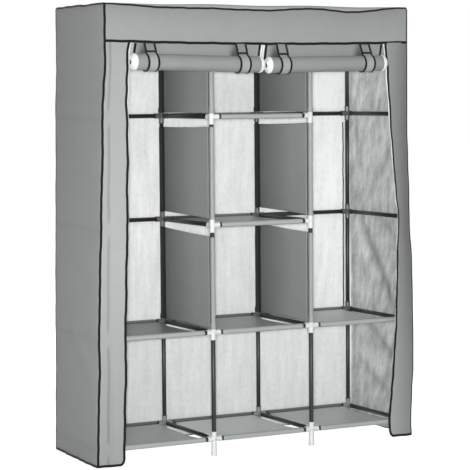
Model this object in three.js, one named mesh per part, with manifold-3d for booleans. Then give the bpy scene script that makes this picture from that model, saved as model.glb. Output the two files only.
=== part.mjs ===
// Portable fabric wardrobe: a frame of steel tubes pushed into plastic connectors, cloth shelves
// and dividers sleeved on the tubes, and a cloth cover with two doors that roll up.
// Millimetres. X runs to the right, Y to the back and Z up.

import * as THREE from 'three';
import { mergeVertices } from 'three/addons/utils/BufferGeometryUtils.js';
import Module from 'manifold-3d';

const wasm = await Module();
wasm.setup();

// Frame of tubes
const bayWidth = 408.5;
const postSpan = 406;
const tierRise = 387.7;
const lowTier = 62;
const tubeDia = 16;
const tubeSides = 8;

// Plastic connectors and feet
const socketWall = 1.8;
const socketGap = 0.3;
const socketReach = 27;
const socketStop = 11.5;
const footDia = 22;
const hangerSleeve = 34;

// Cloth
const clothThickness = 1.2;
const shelfThickness = 1.6;
const touchGap = 0.3;
const seamGap = 0.3;

// Shelves and dividers
const shelfInset = 37;
const shelfSag = 6;
const dividerInset = 33;
const stitchReach = 24;

// Cover
const hemHeight = 4;
const headerDrop = 127;
const headerArch = 8;
const tierBulge = 3;
const leftFrontFlare = 46;
const leftBackFlare = 23;
const rightFrontFlare = 27;
const rightBackFlare = 14;
const stripCut = 98;
const stripFlat = 4;
const stripBend = 22;
const stripEasing = 38;
const seamSagDegrees = 68;
const leftSwingDegrees = 36;
const rightSwingDegrees = 45;

// Doors, rolled up under the header
const doorLeftInset = 94;
const doorLeftMiddle = 15;
const doorRightMiddle = 11;
const doorRightInset = 106;
const rollDia = 62;
const rollDrop = 68;
const rollTail = 30;
const strapWidth = 38;
const strapThickness = 1;
const strapLeftInset = 54;
const strapRightInset = 87;
const strapTape = 12;

// How much of a whole turn the roll's outer lap covers, and where a strap meets and leaves it
const rollTurnShare = 0.97;
const strapTurnShares = { from: 0.3, to: 0.81 };

// Counts of the flat steps that panels and round stretches are drawn with
const cornerSteps = 2;
const mouthSides = 3;
const sagSteps = 8;
const levelSteps = 16;
const wallSteps = 6;
const topSteps = 14;
const topDepthSteps = 8;
const headerSteps = 22;
const rollSteps = 26;
const strapSteps = 16;

const bayNames = ['left', 'middle', 'right'];
const tierNames = ['low', 'second', 'third', 'fourth', 'top'];
const ladderNames = ['left_outer', 'left_inner', 'right_inner', 'right_outer'];
const rowNames = ['front', 'back'];

// Sizes that follow
const tubeRadius = tubeDia / 2;
const boreRadius = tubeRadius + socketGap;
const socketRadius = boreRadius + socketWall;
const halfBays = (ladderNames.length - 1) / 2;
const postX = halfBays * bayWidth;
const postY = postSpan / 2;
const topTier = lowTier + (tierNames.length - 1) * tierRise;

const ladderX = (index) => (index - halfBays) * bayWidth;
const tierZ = (index) => lowTier + index * tierRise;
const rowY = { front: -postY, back: postY };

// A round section drawn with few sides is widened until it has the area of the circle
const roundFactor = Math.sqrt(2 * Math.PI / (tubeSides * Math.sin(2 * Math.PI / tubeSides)));
const chordFactor = 1 / Math.cos(Math.PI / 4 / cornerSteps / 2);
const clearRadius = (socketRadius * roundFactor + touchGap) * chordFactor;
const coverRadius = clearRadius + clothThickness;

// Side bays hold hanging clothes between the second and the top tier
const isHangingBay = (bay) => bay !== 'middle';
const isHangingTier = (tier) => tier === 'third' || tier === 'fourth';
const hasRail = (bay, tier, row) => row === 'back' || !(isHangingBay(bay) && isHangingTier(tier));
const hasShelf = (bay, tier) => tier !== 'top' && hasRail(bay, tier, 'front');

const blackSteel = { color: 0x161718, roughness: 0.45, metalness: 0.3 };
const greyCloth = { color: 0xa4a6a6, roughness: 0.95, metalness: 0 };
const shelfCloth = { color: 0x8f9192, roughness: 0.95, metalness: 0 };
const dividerCloth = { color: 0x7c7f80, roughness: 0.95, metalness: 0 };
const strapCloth = { color: 0x8d8f90, roughness: 0.9, metalness: 0 };

const wardrobe = new THREE.Group();

function addPiece(name, geometry, finish) {
  const mesh = new THREE.Mesh(geometry, new THREE.MeshStandardMaterial(finish));
  mesh.name = name;
  wardrobe.add(mesh);
}

function toSolid(geometry) {
  const plain = geometry.clone();
  plain.deleteAttribute('normal');
  plain.deleteAttribute('uv');
  const merged = mergeVertices(plain);
  const mesh = new wasm.Mesh({
    numProp: 3,
    vertProperties: new Float32Array(merged.attributes.position.array),
    triVerts: new Uint32Array(merged.index.array),
  });
  // Closes the edges whose ends differ in their last digit
  mesh.merge();
  return new wasm.Manifold(mesh);
}

function fromSolid(solid) {
  const mesh = solid.getMesh();
  const geometry = new THREE.BufferGeometry();
  geometry.setAttribute('position', new THREE.BufferAttribute(mesh.vertProperties, 3));
  geometry.setIndex(new THREE.BufferAttribute(mesh.triVerts, 1));
  geometry.computeVertexNormals();
  return geometry;
}

// A round bar from a start point along a direction, its flats square to the axes
function bar(start, direction, length, radius, endRadius = radius) {
  const geometry = new THREE.CylinderGeometry(
    endRadius * roundFactor, radius * roundFactor, length, tubeSides);
  geometry.rotateY(Math.PI / tubeSides);
  geometry.translate(0, length / 2, 0);
  const turn = new THREE.Quaternion();
  turn.setFromUnitVectors(new THREE.Vector3(0, 1, 0), new THREE.Vector3(...direction));
  geometry.applyQuaternion(turn);
  geometry.translate(...start);
  return geometry;
}

// Ladder: two posts, their connectors and feet, and the rails that run from front to back
function connector(x, y, z, tier, arms) {
  const isTop = tier === 'top';
  const isLow = tier === 'low';
  const below = isLow ? 0 : socketReach;
  const above = isTop ? 0 : socketReach;
  const inward = y < 0 ? 1 : -1;
  const pieces = [
    bar([x, y, z - below], [0, 0, 1], below + above, socketRadius),
    bar([x, y, z], [0, inward, 0], socketReach, socketRadius),
  ];
  for (const arm of arms) {
    pieces.push(bar([x, y, z], [arm, 0, 0], socketReach, socketRadius));
  }
  if (isLow) {
    pieces.push(bar([x, y, 0], [0, 0, 1], z + socketRadius, footDia / 2, socketRadius));
  }
  return pieces;
}

// The bore that a rail sits in runs from the socket's stop out past its mouth
function socketBore(x, y, z, arm) {
  return bar([x + arm * socketStop, y, z], [arm, 0, 0], socketReach, boreRadius);
}

function ladder(index) {
  const x = ladderX(index);
  const bays = [{ arm: -1, bay: bayNames[index - 1] }, { arm: 1, bay: bayNames[index] }];
  const pieces = [];
  const bores = [];
  for (const row of rowNames) {
    pieces.push(bar([x, rowY[row], lowTier], [0, 0, 1], topTier - lowTier, tubeRadius));
    tierNames.forEach((tier, level) => {
      const arms = bays.filter(({ bay }) => bay && hasRail(bay, tier, row)).map(({ arm }) => arm);
      pieces.push(...connector(x, rowY[row], tierZ(level), tier, arms));
      bores.push(...arms.map((arm) => socketBore(x, rowY[row], tierZ(level), arm)));
    });
  }
  tierNames.forEach((tier, level) => {
    pieces.push(bar([x, -postY, tierZ(level)], [0, 1, 0], postSpan, tubeRadius));
  });
  // Sleeve with a socket on the top rail that carries the end of a hanging rail
  for (const { arm, bay } of bays.filter((side) => side.bay && isHangingBay(side.bay))) {
    pieces.push(bar([x, -hangerSleeve / 2, topTier], [0, 1, 0], hangerSleeve, socketRadius));
    pieces.push(bar([x, 0, topTier], [arm, 0, 0], socketReach, socketRadius));
    bores.push(socketBore(x, 0, topTier, arm));
  }
  const joined = pieces.map(toSolid).reduce((whole, piece) => whole.add(piece));
  return fromSolid(bores.map(toSolid).reduce((whole, bore) => whole.subtract(bore), joined).asOriginal());
}

ladderNames.forEach((name, index) => {
  addPiece(`ladder_${name}`, ladder(index), blackSteel);
});

// Rails across a bay, seated against the stops of their two sockets
function crossRail(bayIndex, y, z) {
  const stop = socketStop + touchGap;
  return bar([ladderX(bayIndex) + stop, y, z], [1, 0, 0], bayWidth - 2 * stop, tubeRadius);
}

tierNames.forEach((tier, level) => {
  bayNames.forEach((bay, bayIndex) => {
    for (const row of rowNames.filter((side) => hasRail(bay, tier, side))) {
      addPiece(`rail_${tier}_${bay}_${row}`, crossRail(bayIndex, rowY[row], tierZ(level)), blackSteel);
    }
  });
});

bayNames.forEach((bay, bayIndex) => {
  if (isHangingBay(bay)) {
    addPiece(`hanging_rail_${bay}`, crossRail(bayIndex, 0, topTier), blackSteel);
  }
});

// Shelves and dividers: one cloth with a stitched sleeve round a tube at each end
const sleeveBore = tubeRadius * roundFactor + touchGap;
const sleeveRadius = sleeveBore + clothThickness;

// Round the tube from one side of the sleeve's mouth to the other, corner on corner with the tube
function sleeveArc(centre, side, radius, backwards) {
  const points = [];
  for (let i = 0; i <= tubeSides - mouthSides; i += 1) {
    const turn = (mouthSides + 2 * i) * Math.PI / tubeSides;
    const angle = backwards ? 2 * Math.PI - turn : turn;
    const across = centre + side * radius * Math.cos(angle);
    points.push(new THREE.Vector2(across, radius * Math.sin(angle)));
  }
  return points;
}

function sleevedCloth(sag, length) {
  const span = postY - stitchReach;
  const fall = (share) => -sag * (1 - (2 * share - 1) ** 2);
  const face = (half, from, to) => Array.from({ length: sagSteps + 1 }, (_, i) => {
    const share = i / sagSteps;
    return new THREE.Vector2(from + (to - from) * share, fall(share) + half);
  });
  const half = shelfThickness / 2;
  const outline = new THREE.Shape([
    ...sleeveArc(-postY, 1, sleeveRadius, false),
    ...face(-half, -span, span),
    ...sleeveArc(postY, -1, sleeveRadius, true),
    ...face(half, span, -span),
  ]);
  for (const side of [1, -1]) {
    const tip = new THREE.Vector2(-side * (span + clothThickness), 0);
    outline.holes.push(new THREE.Path([tip, ...sleeveArc(-side * postY, side, sleeveBore, false)]));
  }
  return new THREE.ExtrudeGeometry(outline, { depth: length, bevelEnabled: false });
}

const alongX = new THREE.Vector3(1, 0, 0);
const alongY = new THREE.Vector3(0, 1, 0);
const alongZ = new THREE.Vector3(0, 0, 1);

tierNames.forEach((tier, level) => {
  bayNames.forEach((bay, bayIndex) => {
    if (!hasShelf(bay, tier)) return;
    const geometry = sleevedCloth(shelfSag, bayWidth - 2 * shelfInset);
    geometry.applyMatrix4(new THREE.Matrix4().makeBasis(alongY, alongZ, alongX));
    geometry.translate(ladderX(bayIndex) + shelfInset, 0, tierZ(level));
    addPiece(`shelf_${tier}_${bay}`, geometry, shelfCloth);
  });
});

const dividedTiers = tierNames.slice(1, -1);
ladderNames.slice(1, -1).forEach((name, inner) => {
  dividedTiers.forEach((tier, step) => {
    const geometry = sleevedCloth(0, tierRise - 2 * dividerInset);
    const acrossX = alongX.clone().negate();
    geometry.applyMatrix4(new THREE.Matrix4().makeBasis(alongY, acrossX, alongZ));
    geometry.translate(ladderX(inner + 1), 0, tierZ(step + 1) + dividerInset);
    addPiece(`divider_${name}_above_${tier}`, geometry, dividerCloth);
  });
});

// A closed sheet of cloth: place(column, row, depth) is the point that lies depth under its face
function sheet(place, columns, rows, thickness = clothThickness) {
  const points = [];
  for (const depth of [0, thickness]) {
    for (const row of rows) {
      for (const column of columns) points.push(place(column, row, depth));
    }
  }
  const across = columns.length;
  const layer = across * rows.length;
  const faces = [];
  const quad = (a, b, c, d) => faces.push([a, b, c], [a, c, d]);
  const at = (i, j) => j * across + i;
  for (let j = 0; j < rows.length - 1; j += 1) {
    for (let i = 0; i < across - 1; i += 1) {
      const [a, b, c, d] = [at(i, j), at(i + 1, j), at(i + 1, j + 1), at(i, j + 1)];
      quad(a, b, c, d);
      quad(d + layer, c + layer, b + layer, a + layer);
    }
  }
  const rim = [];
  for (let i = 0; i < across - 1; i += 1) rim.push(at(i, 0));
  for (let j = 0; j < rows.length - 1; j += 1) rim.push(at(across - 1, j));
  for (let i = across - 1; i > 0; i -= 1) rim.push(at(i, rows.length - 1));
  for (let j = rows.length - 1; j > 0; j -= 1) rim.push(at(0, j));
  rim.forEach((a, i) => {
    const b = rim[(i + 1) % rim.length];
    quad(b, a, a + layer, b + layer);
  });
  const volume = faces.reduce((sum, [a, b, c]) => {
    return sum + points[a].dot(new THREE.Vector3().crossVectors(points[b], points[c]));
  }, 0);
  const outward = volume > 0 ? faces : faces.map(([a, b, c]) => [a, c, b]);
  const geometry = new THREE.BufferGeometry();
  geometry.setFromPoints(points);
  geometry.setIndex(outward.flat());
  geometry.computeVertexNormals();
  return geometry;
}

// Stations across a panel: share is the place between the posts, -1 to 1, and lean turns
// the face round the corner until the seam, half way to the next panel
const seamLean = 1 - seamGap / coverRadius;
const midLean = Math.tan(Math.PI / 4 / cornerSteps);

function stations(steps) {
  const flat = Array.from({ length: steps + 1 }, (_, i) => ({ share: 2 * i / steps - 1, lean: 0 }));
  const corner = (side) => [midLean, seamLean].map((lean) => ({ share: side, lean: side * lean }));
  return [...corner(-1).reverse(), ...flat, ...corner(1)];
}

// Smooth reading of a table of [height share, value share] rows, the floor at 0
function readTable(table, share) {
  const last = table.length - 1;
  if (share <= table[0][0]) return table[0][1];
  if (share >= table[last][0]) return table[last][1];
  const i = table.findIndex(([height]) => height > share);
  const [[h0, v0], [h1, v1]] = [table[i - 1], table[i]];
  const t = (share - h0) / (h1 - h0);
  return v0 + (v1 - v0) * t * t * (3 - 2 * t);
}

// The cover hangs close at the top and spreads towards its hem
const leftFlareShares = [
  [0, 1], [0.1, 0.91], [0.22, 0.76], [0.29, 0.78], [0.37, 0.67], [0.57, 0.46], [0.68, 0.3],
  [0.78, 0.26], [0.83, 0.12], [0.87, 0],
];
const rightFlareShares = [
  [0, 0.72], [0.03, 0.6], [0.11, 0.78], [0.16, 1], [0.24, 1], [0.33, 0.9], [0.42, 0.76],
  [0.5, 0.4], [0.57, 0.32], [0.66, 0.14], [0.72, 0],
];

function cornerFlare(side, back, z) {
  const share = z / topTier;
  if (side < 0) return readTable(leftFlareShares, share) * (back ? leftBackFlare : leftFrontFlare);
  return readTable(rightFlareShares, share) * (back ? rightBackFlare : rightFrontFlare);
}

// Between two tiers of rails the cloth stands out a little
const bulge = (z) => tierBulge * (1 - Math.cos(2 * Math.PI * (z - lowTier) / tierRise)) / 2;

// A point of the rounded box: from the nearest place between the posts, out along a direction
function roundPoint(centre, direction, depth) {
  return new THREE.Vector3(...direction).setLength(coverRadius - depth).add(centre);
}

const coverLevels = Array.from({ length: levelSteps + 1 }, (_, i) => {
  return hemHeight + (topTier - hemHeight) * i / levelSteps;
});
const wallRows = [
  ...coverLevels.map((z) => ({ z, lean: 0 })),
  { z: topTier, lean: midLean },
  { z: topTier, lean: seamLean },
];

function sidePanel(side) {
  const place = (column, row, depth) => {
    const backShare = (column.share + 1) / 2;
    const front = cornerFlare(side, false, row.z);
    const flare = front + (cornerFlare(side, true, row.z) - front) * backShare;
    const swell = bulge(row.z) * (1 - column.share ** 2);
    const centre = new THREE.Vector3(side * (postX + flare + swell), column.share * postY, row.z);
    return roundPoint(centre, [side, column.lean, row.lean], depth);
  };
  return sheet(place, stations(wallSteps), wallRows);
}

function backPanel() {
  const place = (column, row, depth) => {
    const side = column.share < 0 ? -1 : 1;
    const reach = postX + cornerFlare(side, true, row.z);
    const swell = bulge(row.z) * (1 - column.share ** 2);
    const centre = new THREE.Vector3(column.share * reach, postY + swell, row.z);
    return roundPoint(centre, [column.lean, 1, row.lean], depth);
  };
  return sheet(place, stations(wallSteps), wallRows);
}

// The top seam of the front sags from the corners: the angle of the seam on the top rail
const seamTurn = Math.atan(1 / seamLean) - Math.PI / 4;
const seamAngleEnd = Math.PI / 4;
const seamAngleSag = THREE.MathUtils.degToRad(seamSagDegrees);
const seamAngle = (share) => seamAngleEnd - seamAngleSag * (1 - share ** 2);

// A direction round the top rail at an angle above level; below level the cloth hangs straight
function frontPoint(column, angle, depth) {
  const level = Math.max(angle, 0);
  const centre = new THREE.Vector3(column.share * postX, -postY, topTier + coverRadius * (angle - level));
  const along = column.lean;
  const direction = [along * Math.max(Math.cos(level), Math.sin(level)), -Math.cos(level), Math.sin(level)];
  return roundPoint(centre, direction, depth);
}

function topPanel() {
  const wrapShares = [0, 0.2, 0.4, 0.6, 0.8, 1];
  const rows = [
    ...wrapShares.map((wrap) => ({ wrap })),
    ...stations(topDepthSteps).filter(({ share }) => share > -1),
  ];
  const place = (column, row, depth) => {
    if ('wrap' in row) {
      const low = seamAngle(column.share) + seamTurn;
      return frontPoint(column, low + (Math.PI / 2 - low) * row.wrap, depth);
    }
    const centre = new THREE.Vector3(column.share * postX, row.share * postY, topTier);
    return roundPoint(centre, [column.lean, row.lean, 1], depth);
  };
  return sheet(place, stations(topSteps), rows);
}

// Header: the band across the front, above the doors
const headerLow = (share) => topTier - headerDrop + headerArch * share ** 2;

function headerPanel() {
  const hangShares = [0, 0.35, 0.7, 1];
  const wrapShares = [0.5, 1];
  const rows = [...hangShares.map((hang) => ({ hang })), ...wrapShares.map((wrap) => ({ wrap }))];
  const place = (column, row, depth) => {
    const low = (headerLow(column.share) - topTier) / coverRadius;
    const high = seamAngle(column.share) - seamTurn;
    const bend = Math.min(0, high - Math.PI / 4);
    const angle = 'hang' in row ? low + (bend - low) * row.hang : bend + (high - bend) * row.wrap;
    return frontPoint(column, angle, depth);
  };
  return sheet(place, stations(headerSteps), rows);
}

// Strips beside the doors: flat past the post, then their free edge swings forward
const leftSwingShares = [[0, 0.22], [0.3, 0.18], [0.6, 0.12], [0.8, 0.06], [0.92, 0]];
const rightSwingShares = [
  [0.05, 0], [0.16, 0.23], [0.28, 0.6], [0.35, 0.71], [0.43, 0.82], [0.52, 1], [0.58, 0.78],
  [0.68, 0.58], [0.75, 0.44], [0.86, 0.23], [0.92, 0.03],
];
const leftSwing = THREE.MathUtils.degToRad(leftSwingDegrees);
const rightSwing = THREE.MathUtils.degToRad(rightSwingDegrees);
const stripTopShares = [[0, 0.7], [0.02, 0.97], [0.05, 1], [0.85, 1], [0.92, 1]];

// Past its flat stretch the strip bends forward round a soft fold and then runs straight
function stripReach(length, swing) {
  const angle = Math.min(length / stripBend, swing);
  const rest = length - angle * stripBend;
  return {
    angle,
    inward: stripBend * Math.sin(angle) + rest * Math.cos(angle),
    forward: stripBend * (1 - Math.cos(angle)) + rest * Math.sin(angle),
  };
}

function stripPanel(side) {
  const freeShares = [0, 0.12, 0.24, 0.36, 0.68, 1];
  const columns = [
    { lean: seamLean, free: 0 }, { lean: midLean, free: 0 }, { lean: 0, free: 0 },
    ...freeShares.map((free) => ({ free })),
  ];
  // No row lies closer to the header than the easing, so that none is squeezed flat at the seam
  const rows = [...coverLevels.filter((z) => z < headerLow(0) - stripEasing), 'seam'];
  const place = (column, row, depth) => {
    const seamHeight = headerLow(1 - column.free * stripCut / postX) - seamGap;
    const z = row === 'seam' ? seamHeight : row;
    const share = z / topTier;
    const flare = cornerFlare(side, false, z);
    if ('lean' in column) {
      const centre = new THREE.Vector3(side * (postX + flare), -postY, z);
      return roundPoint(centre, [side * column.lean, -1, 0], depth);
    }
    const swing = side < 0 ? leftSwing * readTable(leftSwingShares, share)
      : rightSwing * readTable(rightSwingShares, share);
    const cut = stripCut * readTable(stripTopShares, share);
    const free = cut - coverRadius * Math.PI / 4 - flare - stripFlat;
    const { angle, inward, forward } = stripReach(free * column.free, swing);
    return new THREE.Vector3(
      side * (postX - stripFlat - inward - depth * Math.sin(angle)),
      -postY - coverRadius - forward + depth * Math.cos(angle),
      z,
    );
  };
  return sheet(place, columns, rows);
}

addPiece('cover_left_side', sidePanel(-1), greyCloth);
addPiece('cover_right_side', sidePanel(1), greyCloth);
addPiece('cover_back', backPanel(), greyCloth);
addPiece('cover_top', topPanel(), greyCloth);
addPiece('cover_header', headerPanel(), greyCloth);
addPiece('cover_strip_left', stripPanel(-1), greyCloth);
addPiece('cover_strip_right', stripPanel(1), greyCloth);

// Doors: each hangs from the header as a short curtain and ends in a roll, held by two straps
const curtainFace = -(postY + coverRadius);
const rollRadius = rollDia / 2;
const curtainTop = headerLow(0) - seamGap;
const rollY = curtainFace - touchGap - rollRadius;
const rollZ = headerLow(0) - rollDrop;
const tailTop = rollZ + rollTail;

function extrudeAcross(shape, start, end) {
  const geometry = new THREE.ExtrudeGeometry(shape, { depth: end - start, bevelEnabled: false });
  geometry.applyMatrix4(new THREE.Matrix4().makeBasis(alongY, alongZ, alongX));
  geometry.translate(start, 0, 0);
  return geometry;
}

function curtain(start, end) {
  const shape = new THREE.Shape([
    new THREE.Vector2(curtainFace, tailTop + seamGap),
    new THREE.Vector2(curtainFace + clothThickness, tailTop + seamGap),
    new THREE.Vector2(curtainFace + clothThickness, curtainTop),
    new THREE.Vector2(curtainFace, curtainTop),
  ]);
  return extrudeAcross(shape, start, end);
}

// The roll's outline starts at the cloth that comes down from the curtain, goes once round and
// ends at a lap on the inner turn
function roll(start, end) {
  const points = [new THREE.Vector2(curtainFace, tailTop)];
  for (let i = 0; i <= rollSteps; i += 1) {
    const share = i / rollSteps;
    const angle = share * rollTurnShare * 2 * Math.PI;
    const radius = rollRadius - clothThickness * share;
    points.push(new THREE.Vector2(rollY + radius * Math.cos(angle), rollZ + radius * Math.sin(angle)));
  }
  const face = curtainFace + clothThickness;
  points.push(new THREE.Vector2(rollY + rollRadius, rollZ - rollRadius / 4));
  points.push(new THREE.Vector2(face, rollZ - rollRadius / 4));
  points.push(new THREE.Vector2(face, tailTop));
  return extrudeAcross(new THREE.Shape(points), start, end);
}

// A ribbon of even thickness along a path of points
function ribbonShape(path, thickness) {
  const offset = (side) => path.map((point, i) => {
    const before = path[Math.max(i - 1, 0)];
    const after = path[Math.min(i + 1, path.length - 1)];
    const across = after.clone().sub(before).normalize().multiplyScalar(side * thickness / 2);
    return new THREE.Vector2(point.x - across.y, point.y + across.x);
  });
  return new THREE.Shape([...offset(1), ...offset(-1).reverse()]);
}

function strapPath() {
  const reach = rollRadius + touchGap + strapThickness;
  const frontY = curtainFace - touchGap - strapThickness;
  const backY = curtainFace + clothThickness + touchGap + strapThickness / 2;
  const points = [new THREE.Vector2(frontY, curtainTop)];
  const { from, to } = strapTurnShares;
  for (let i = 0; i <= strapSteps; i += 1) {
    const angle = (from + (to - from) * i / strapSteps) * 2 * Math.PI;
    points.push(new THREE.Vector2(rollY + reach * Math.cos(angle), rollZ + reach * Math.sin(angle)));
  }
  points.push(new THREE.Vector2(backY, rollZ - rollRadius / 2));
  points.push(new THREE.Vector2(backY, curtainTop + strapTape));
  return points;
}

function straps(start, end) {
  const shape = ribbonShape(strapPath(), strapThickness);
  const backY = curtainFace + clothThickness + touchGap;
  const tape = new THREE.BoxGeometry(end - start, strapThickness, strapTape);
  tape.translate((start + end) / 2, backY + strapThickness / 2, curtainTop + strapTape / 2);
  const places = [start + strapLeftInset, end - strapRightInset];
  const loops = places.map((middle) => {
    return extrudeAcross(shape, middle - strapWidth / 2, middle + strapWidth / 2);
  });
  return fromSolid([tape, ...loops].map(toSolid).reduce((whole, piece) => whole.add(piece)));
}

// Each door runs from beside its strip, inset from the post, to near the middle of the front
const doors = [
  { name: 'left', start: doorLeftInset - postX, end: -doorLeftMiddle },
  { name: 'right', start: doorRightMiddle, end: postX - doorRightInset },
];
for (const { name, start, end } of doors) {
  addPiece(`door_${name}_curtain`, curtain(start, end), greyCloth);
  addPiece(`door_${name}_roll`, roll(start, end), greyCloth);
  addPiece(`door_${name}_straps`, straps(start, end), strapCloth);
}

// The origin is on the floor, under the middle of the whole
const whole = new THREE.Box3().setFromObject(wardrobe);
const middle = whole.getCenter(new THREE.Vector3());
wardrobe.position.set(-middle.x, -middle.y, 0);

export default wardrobe;
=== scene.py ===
"""Portable fabric wardrobe: black steel tubes in white plastic connectors, cloth shelves and dividers
sleeved on the tubes, and a grey cloth cover with black piping whose two doors are rolled up."""

import math

import bpy
import numpy as np
from mathutils import Matrix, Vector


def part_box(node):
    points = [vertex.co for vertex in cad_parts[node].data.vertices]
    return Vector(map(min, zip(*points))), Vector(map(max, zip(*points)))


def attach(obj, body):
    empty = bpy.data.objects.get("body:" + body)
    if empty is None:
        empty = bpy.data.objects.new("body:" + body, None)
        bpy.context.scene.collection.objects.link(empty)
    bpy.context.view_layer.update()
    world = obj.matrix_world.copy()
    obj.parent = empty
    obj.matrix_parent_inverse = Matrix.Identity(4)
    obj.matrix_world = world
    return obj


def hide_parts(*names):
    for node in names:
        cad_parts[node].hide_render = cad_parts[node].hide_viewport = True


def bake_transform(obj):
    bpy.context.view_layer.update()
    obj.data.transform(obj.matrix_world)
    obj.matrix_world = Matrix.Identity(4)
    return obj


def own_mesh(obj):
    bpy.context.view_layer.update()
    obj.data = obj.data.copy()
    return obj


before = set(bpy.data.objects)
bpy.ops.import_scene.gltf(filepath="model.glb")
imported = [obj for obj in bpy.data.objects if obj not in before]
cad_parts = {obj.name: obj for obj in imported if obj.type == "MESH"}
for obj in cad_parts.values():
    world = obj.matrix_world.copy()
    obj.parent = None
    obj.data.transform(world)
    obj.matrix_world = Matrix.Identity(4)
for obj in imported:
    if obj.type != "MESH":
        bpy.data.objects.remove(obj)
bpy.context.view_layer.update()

# Where the frame stands. The posts, tiers and bays are read from the frame's own pieces, so that
# every tube, connector and cloth below takes its place from them. All lengths are in metres.
TIERS = ("low", "second", "third", "fourth", "top")
BAYS = ("left", "middle", "right")
LADDERS = ("left_outer", "left_inner", "right_inner", "right_outer")


def middle_of(node):
    """The centre of a node's box."""
    low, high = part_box(node)
    return (low + high) / 2


CENTRE_X = middle_of("shelf_low_middle").x
CENTRE_Y = middle_of("shelf_low_middle").y
BAY = CENTRE_X - middle_of("shelf_low_left").x
HALF_DEPTH = CENTRE_Y - middle_of("rail_low_middle_front").y
TIER_Z = [middle_of(f"rail_{tier}_middle_back").z for tier in TIERS]
TOP_Z = TIER_Z[-1]
RISE = TIER_Z[1] - TIER_Z[0]
LADDER_X = [CENTRE_X + BAY * step for step in (-1.5, -0.5, 0.5, 1.5)]
HALF_WIDTH = 1.5 * BAY
ROW_Y = {"front": CENTRE_Y - HALF_DEPTH, "back": CENTRE_Y + HALF_DEPTH}

# The camera stands to the left of the middle, a little below the wardrobe's top, and looks slightly
# down. Its place and turn are those at which the tube joints fall where the photograph has them.
CAMERA_FROM_CENTRE = (-3.4309, -6.3930, 1.3165)
CAMERA_YAW, CAMERA_PITCH, CAMERA_ROLL = (math.radians(turn) for turn in (28.201, -4.225, -0.441))
CAMERA_LENS = 149.36
CAMERA_SENSOR_WIDTH = 36
CAMERA_SEES_TO = 100

forward = np.array([
    math.sin(CAMERA_YAW) * math.cos(CAMERA_PITCH),
    math.cos(CAMERA_YAW) * math.cos(CAMERA_PITCH),
    math.sin(CAMERA_PITCH),
])
level_right = np.array([math.cos(CAMERA_YAW), -math.sin(CAMERA_YAW), 0.0])
level_up = np.cross(level_right, forward)
right = level_right * math.cos(CAMERA_ROLL) + level_up * math.sin(CAMERA_ROLL)
up = level_up * math.cos(CAMERA_ROLL) - level_right * math.sin(CAMERA_ROLL)

camera = bpy.data.objects.new("camera", bpy.data.cameras.new("camera"))
camera.data.lens = CAMERA_LENS
camera.data.sensor_width = CAMERA_SENSOR_WIDTH
camera.data.clip_end = CAMERA_SEES_TO
camera.matrix_world = Matrix.Translation((
    CENTRE_X + CAMERA_FROM_CENTRE[0],
    CENTRE_Y + CAMERA_FROM_CENTRE[1],
    CAMERA_FROM_CENTRE[2],
)) @ Matrix((right, up, -forward)).transposed().to_4x4()
bpy.context.scene.collection.objects.link(camera)
bpy.context.scene.camera = camera
bpy.context.scene.view_settings.view_transform = "Standard"

# Plain studio light: a lamp beside the camera that reaches into the open front, soft ones above the
# front and behind, and an even pale surround. The floor and the surround are white where they are seen.
SURROUND = 0.2
LAMPS = {
    "lamp_by_camera": {"place": CAMERA_FROM_CENTRE, "size": 0.3, "watts": 400},
    "lamp_above": {"place": (-0.8, -3.6, 4.3), "size": 2.4, "watts": 25},
    "lamp_behind": {"place": (1.6, 4.4, 2.6), "size": 2.4, "watts": 170},
}
FLOOR_SIZE = 60.0
FLOOR_COLOUR = (0.86, 0.86, 0.86, 1)
FLOOR_WHITE_SHARE = 0.6
FLOOR_WHITE = 1.6


def seen_directly(tree):
    """1 for rays that show the background: from the camera, in a reflection or through glass."""
    path = tree.nodes.new("ShaderNodeLightPath")
    total = path.outputs["Is Camera Ray"]
    for name in ("Is Glossy Ray", "Is Transmission Ray"):
        highest = tree.nodes.new("ShaderNodeMath")
        highest.operation = "MAXIMUM"
        tree.links.new(total, highest.inputs[0])
        tree.links.new(path.outputs[name], highest.inputs[1])
        total = highest.outputs[0]
    return total


world = bpy.data.worlds.new("surround")
world.use_nodes = True
bpy.context.scene.world = world
sky = world.node_tree
sky.nodes.clear()
lighting = sky.nodes.new("ShaderNodeBackground")
lighting.inputs["Strength"].default_value = SURROUND
shown = sky.nodes.new("ShaderNodeBackground")
for background in (lighting, shown):
    background.inputs["Color"].default_value = (1, 1, 1, 1)
choose = sky.nodes.new("ShaderNodeMixShader")
sky.links.new(seen_directly(sky), choose.inputs["Fac"])
sky.links.new(lighting.outputs[0], choose.inputs[1])
sky.links.new(shown.outputs[0], choose.inputs[2])
sky.links.new(choose.outputs[0], sky.nodes.new("ShaderNodeOutputWorld").inputs["Surface"])

for name, settings in LAMPS.items():
    lamp = bpy.data.objects.new(name, bpy.data.lights.new(name, "AREA"))
    lamp.data.shape = "DISK"
    lamp.data.size = settings["size"]
    lamp.data.energy = settings["watts"]
    lamp.location = np.array([CENTRE_X, CENTRE_Y, 0]) + settings["place"]
    aim = np.array([CENTRE_X, CENTRE_Y, TOP_Z / 2]) - lamp.location
    lamp.rotation_euler = (
        math.atan2(math.hypot(aim[0], aim[1]), -aim[2]),
        0,
        math.atan2(aim[1], aim[0]) - math.pi / 2,
    )
    bpy.context.scene.collection.objects.link(lamp)

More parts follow.
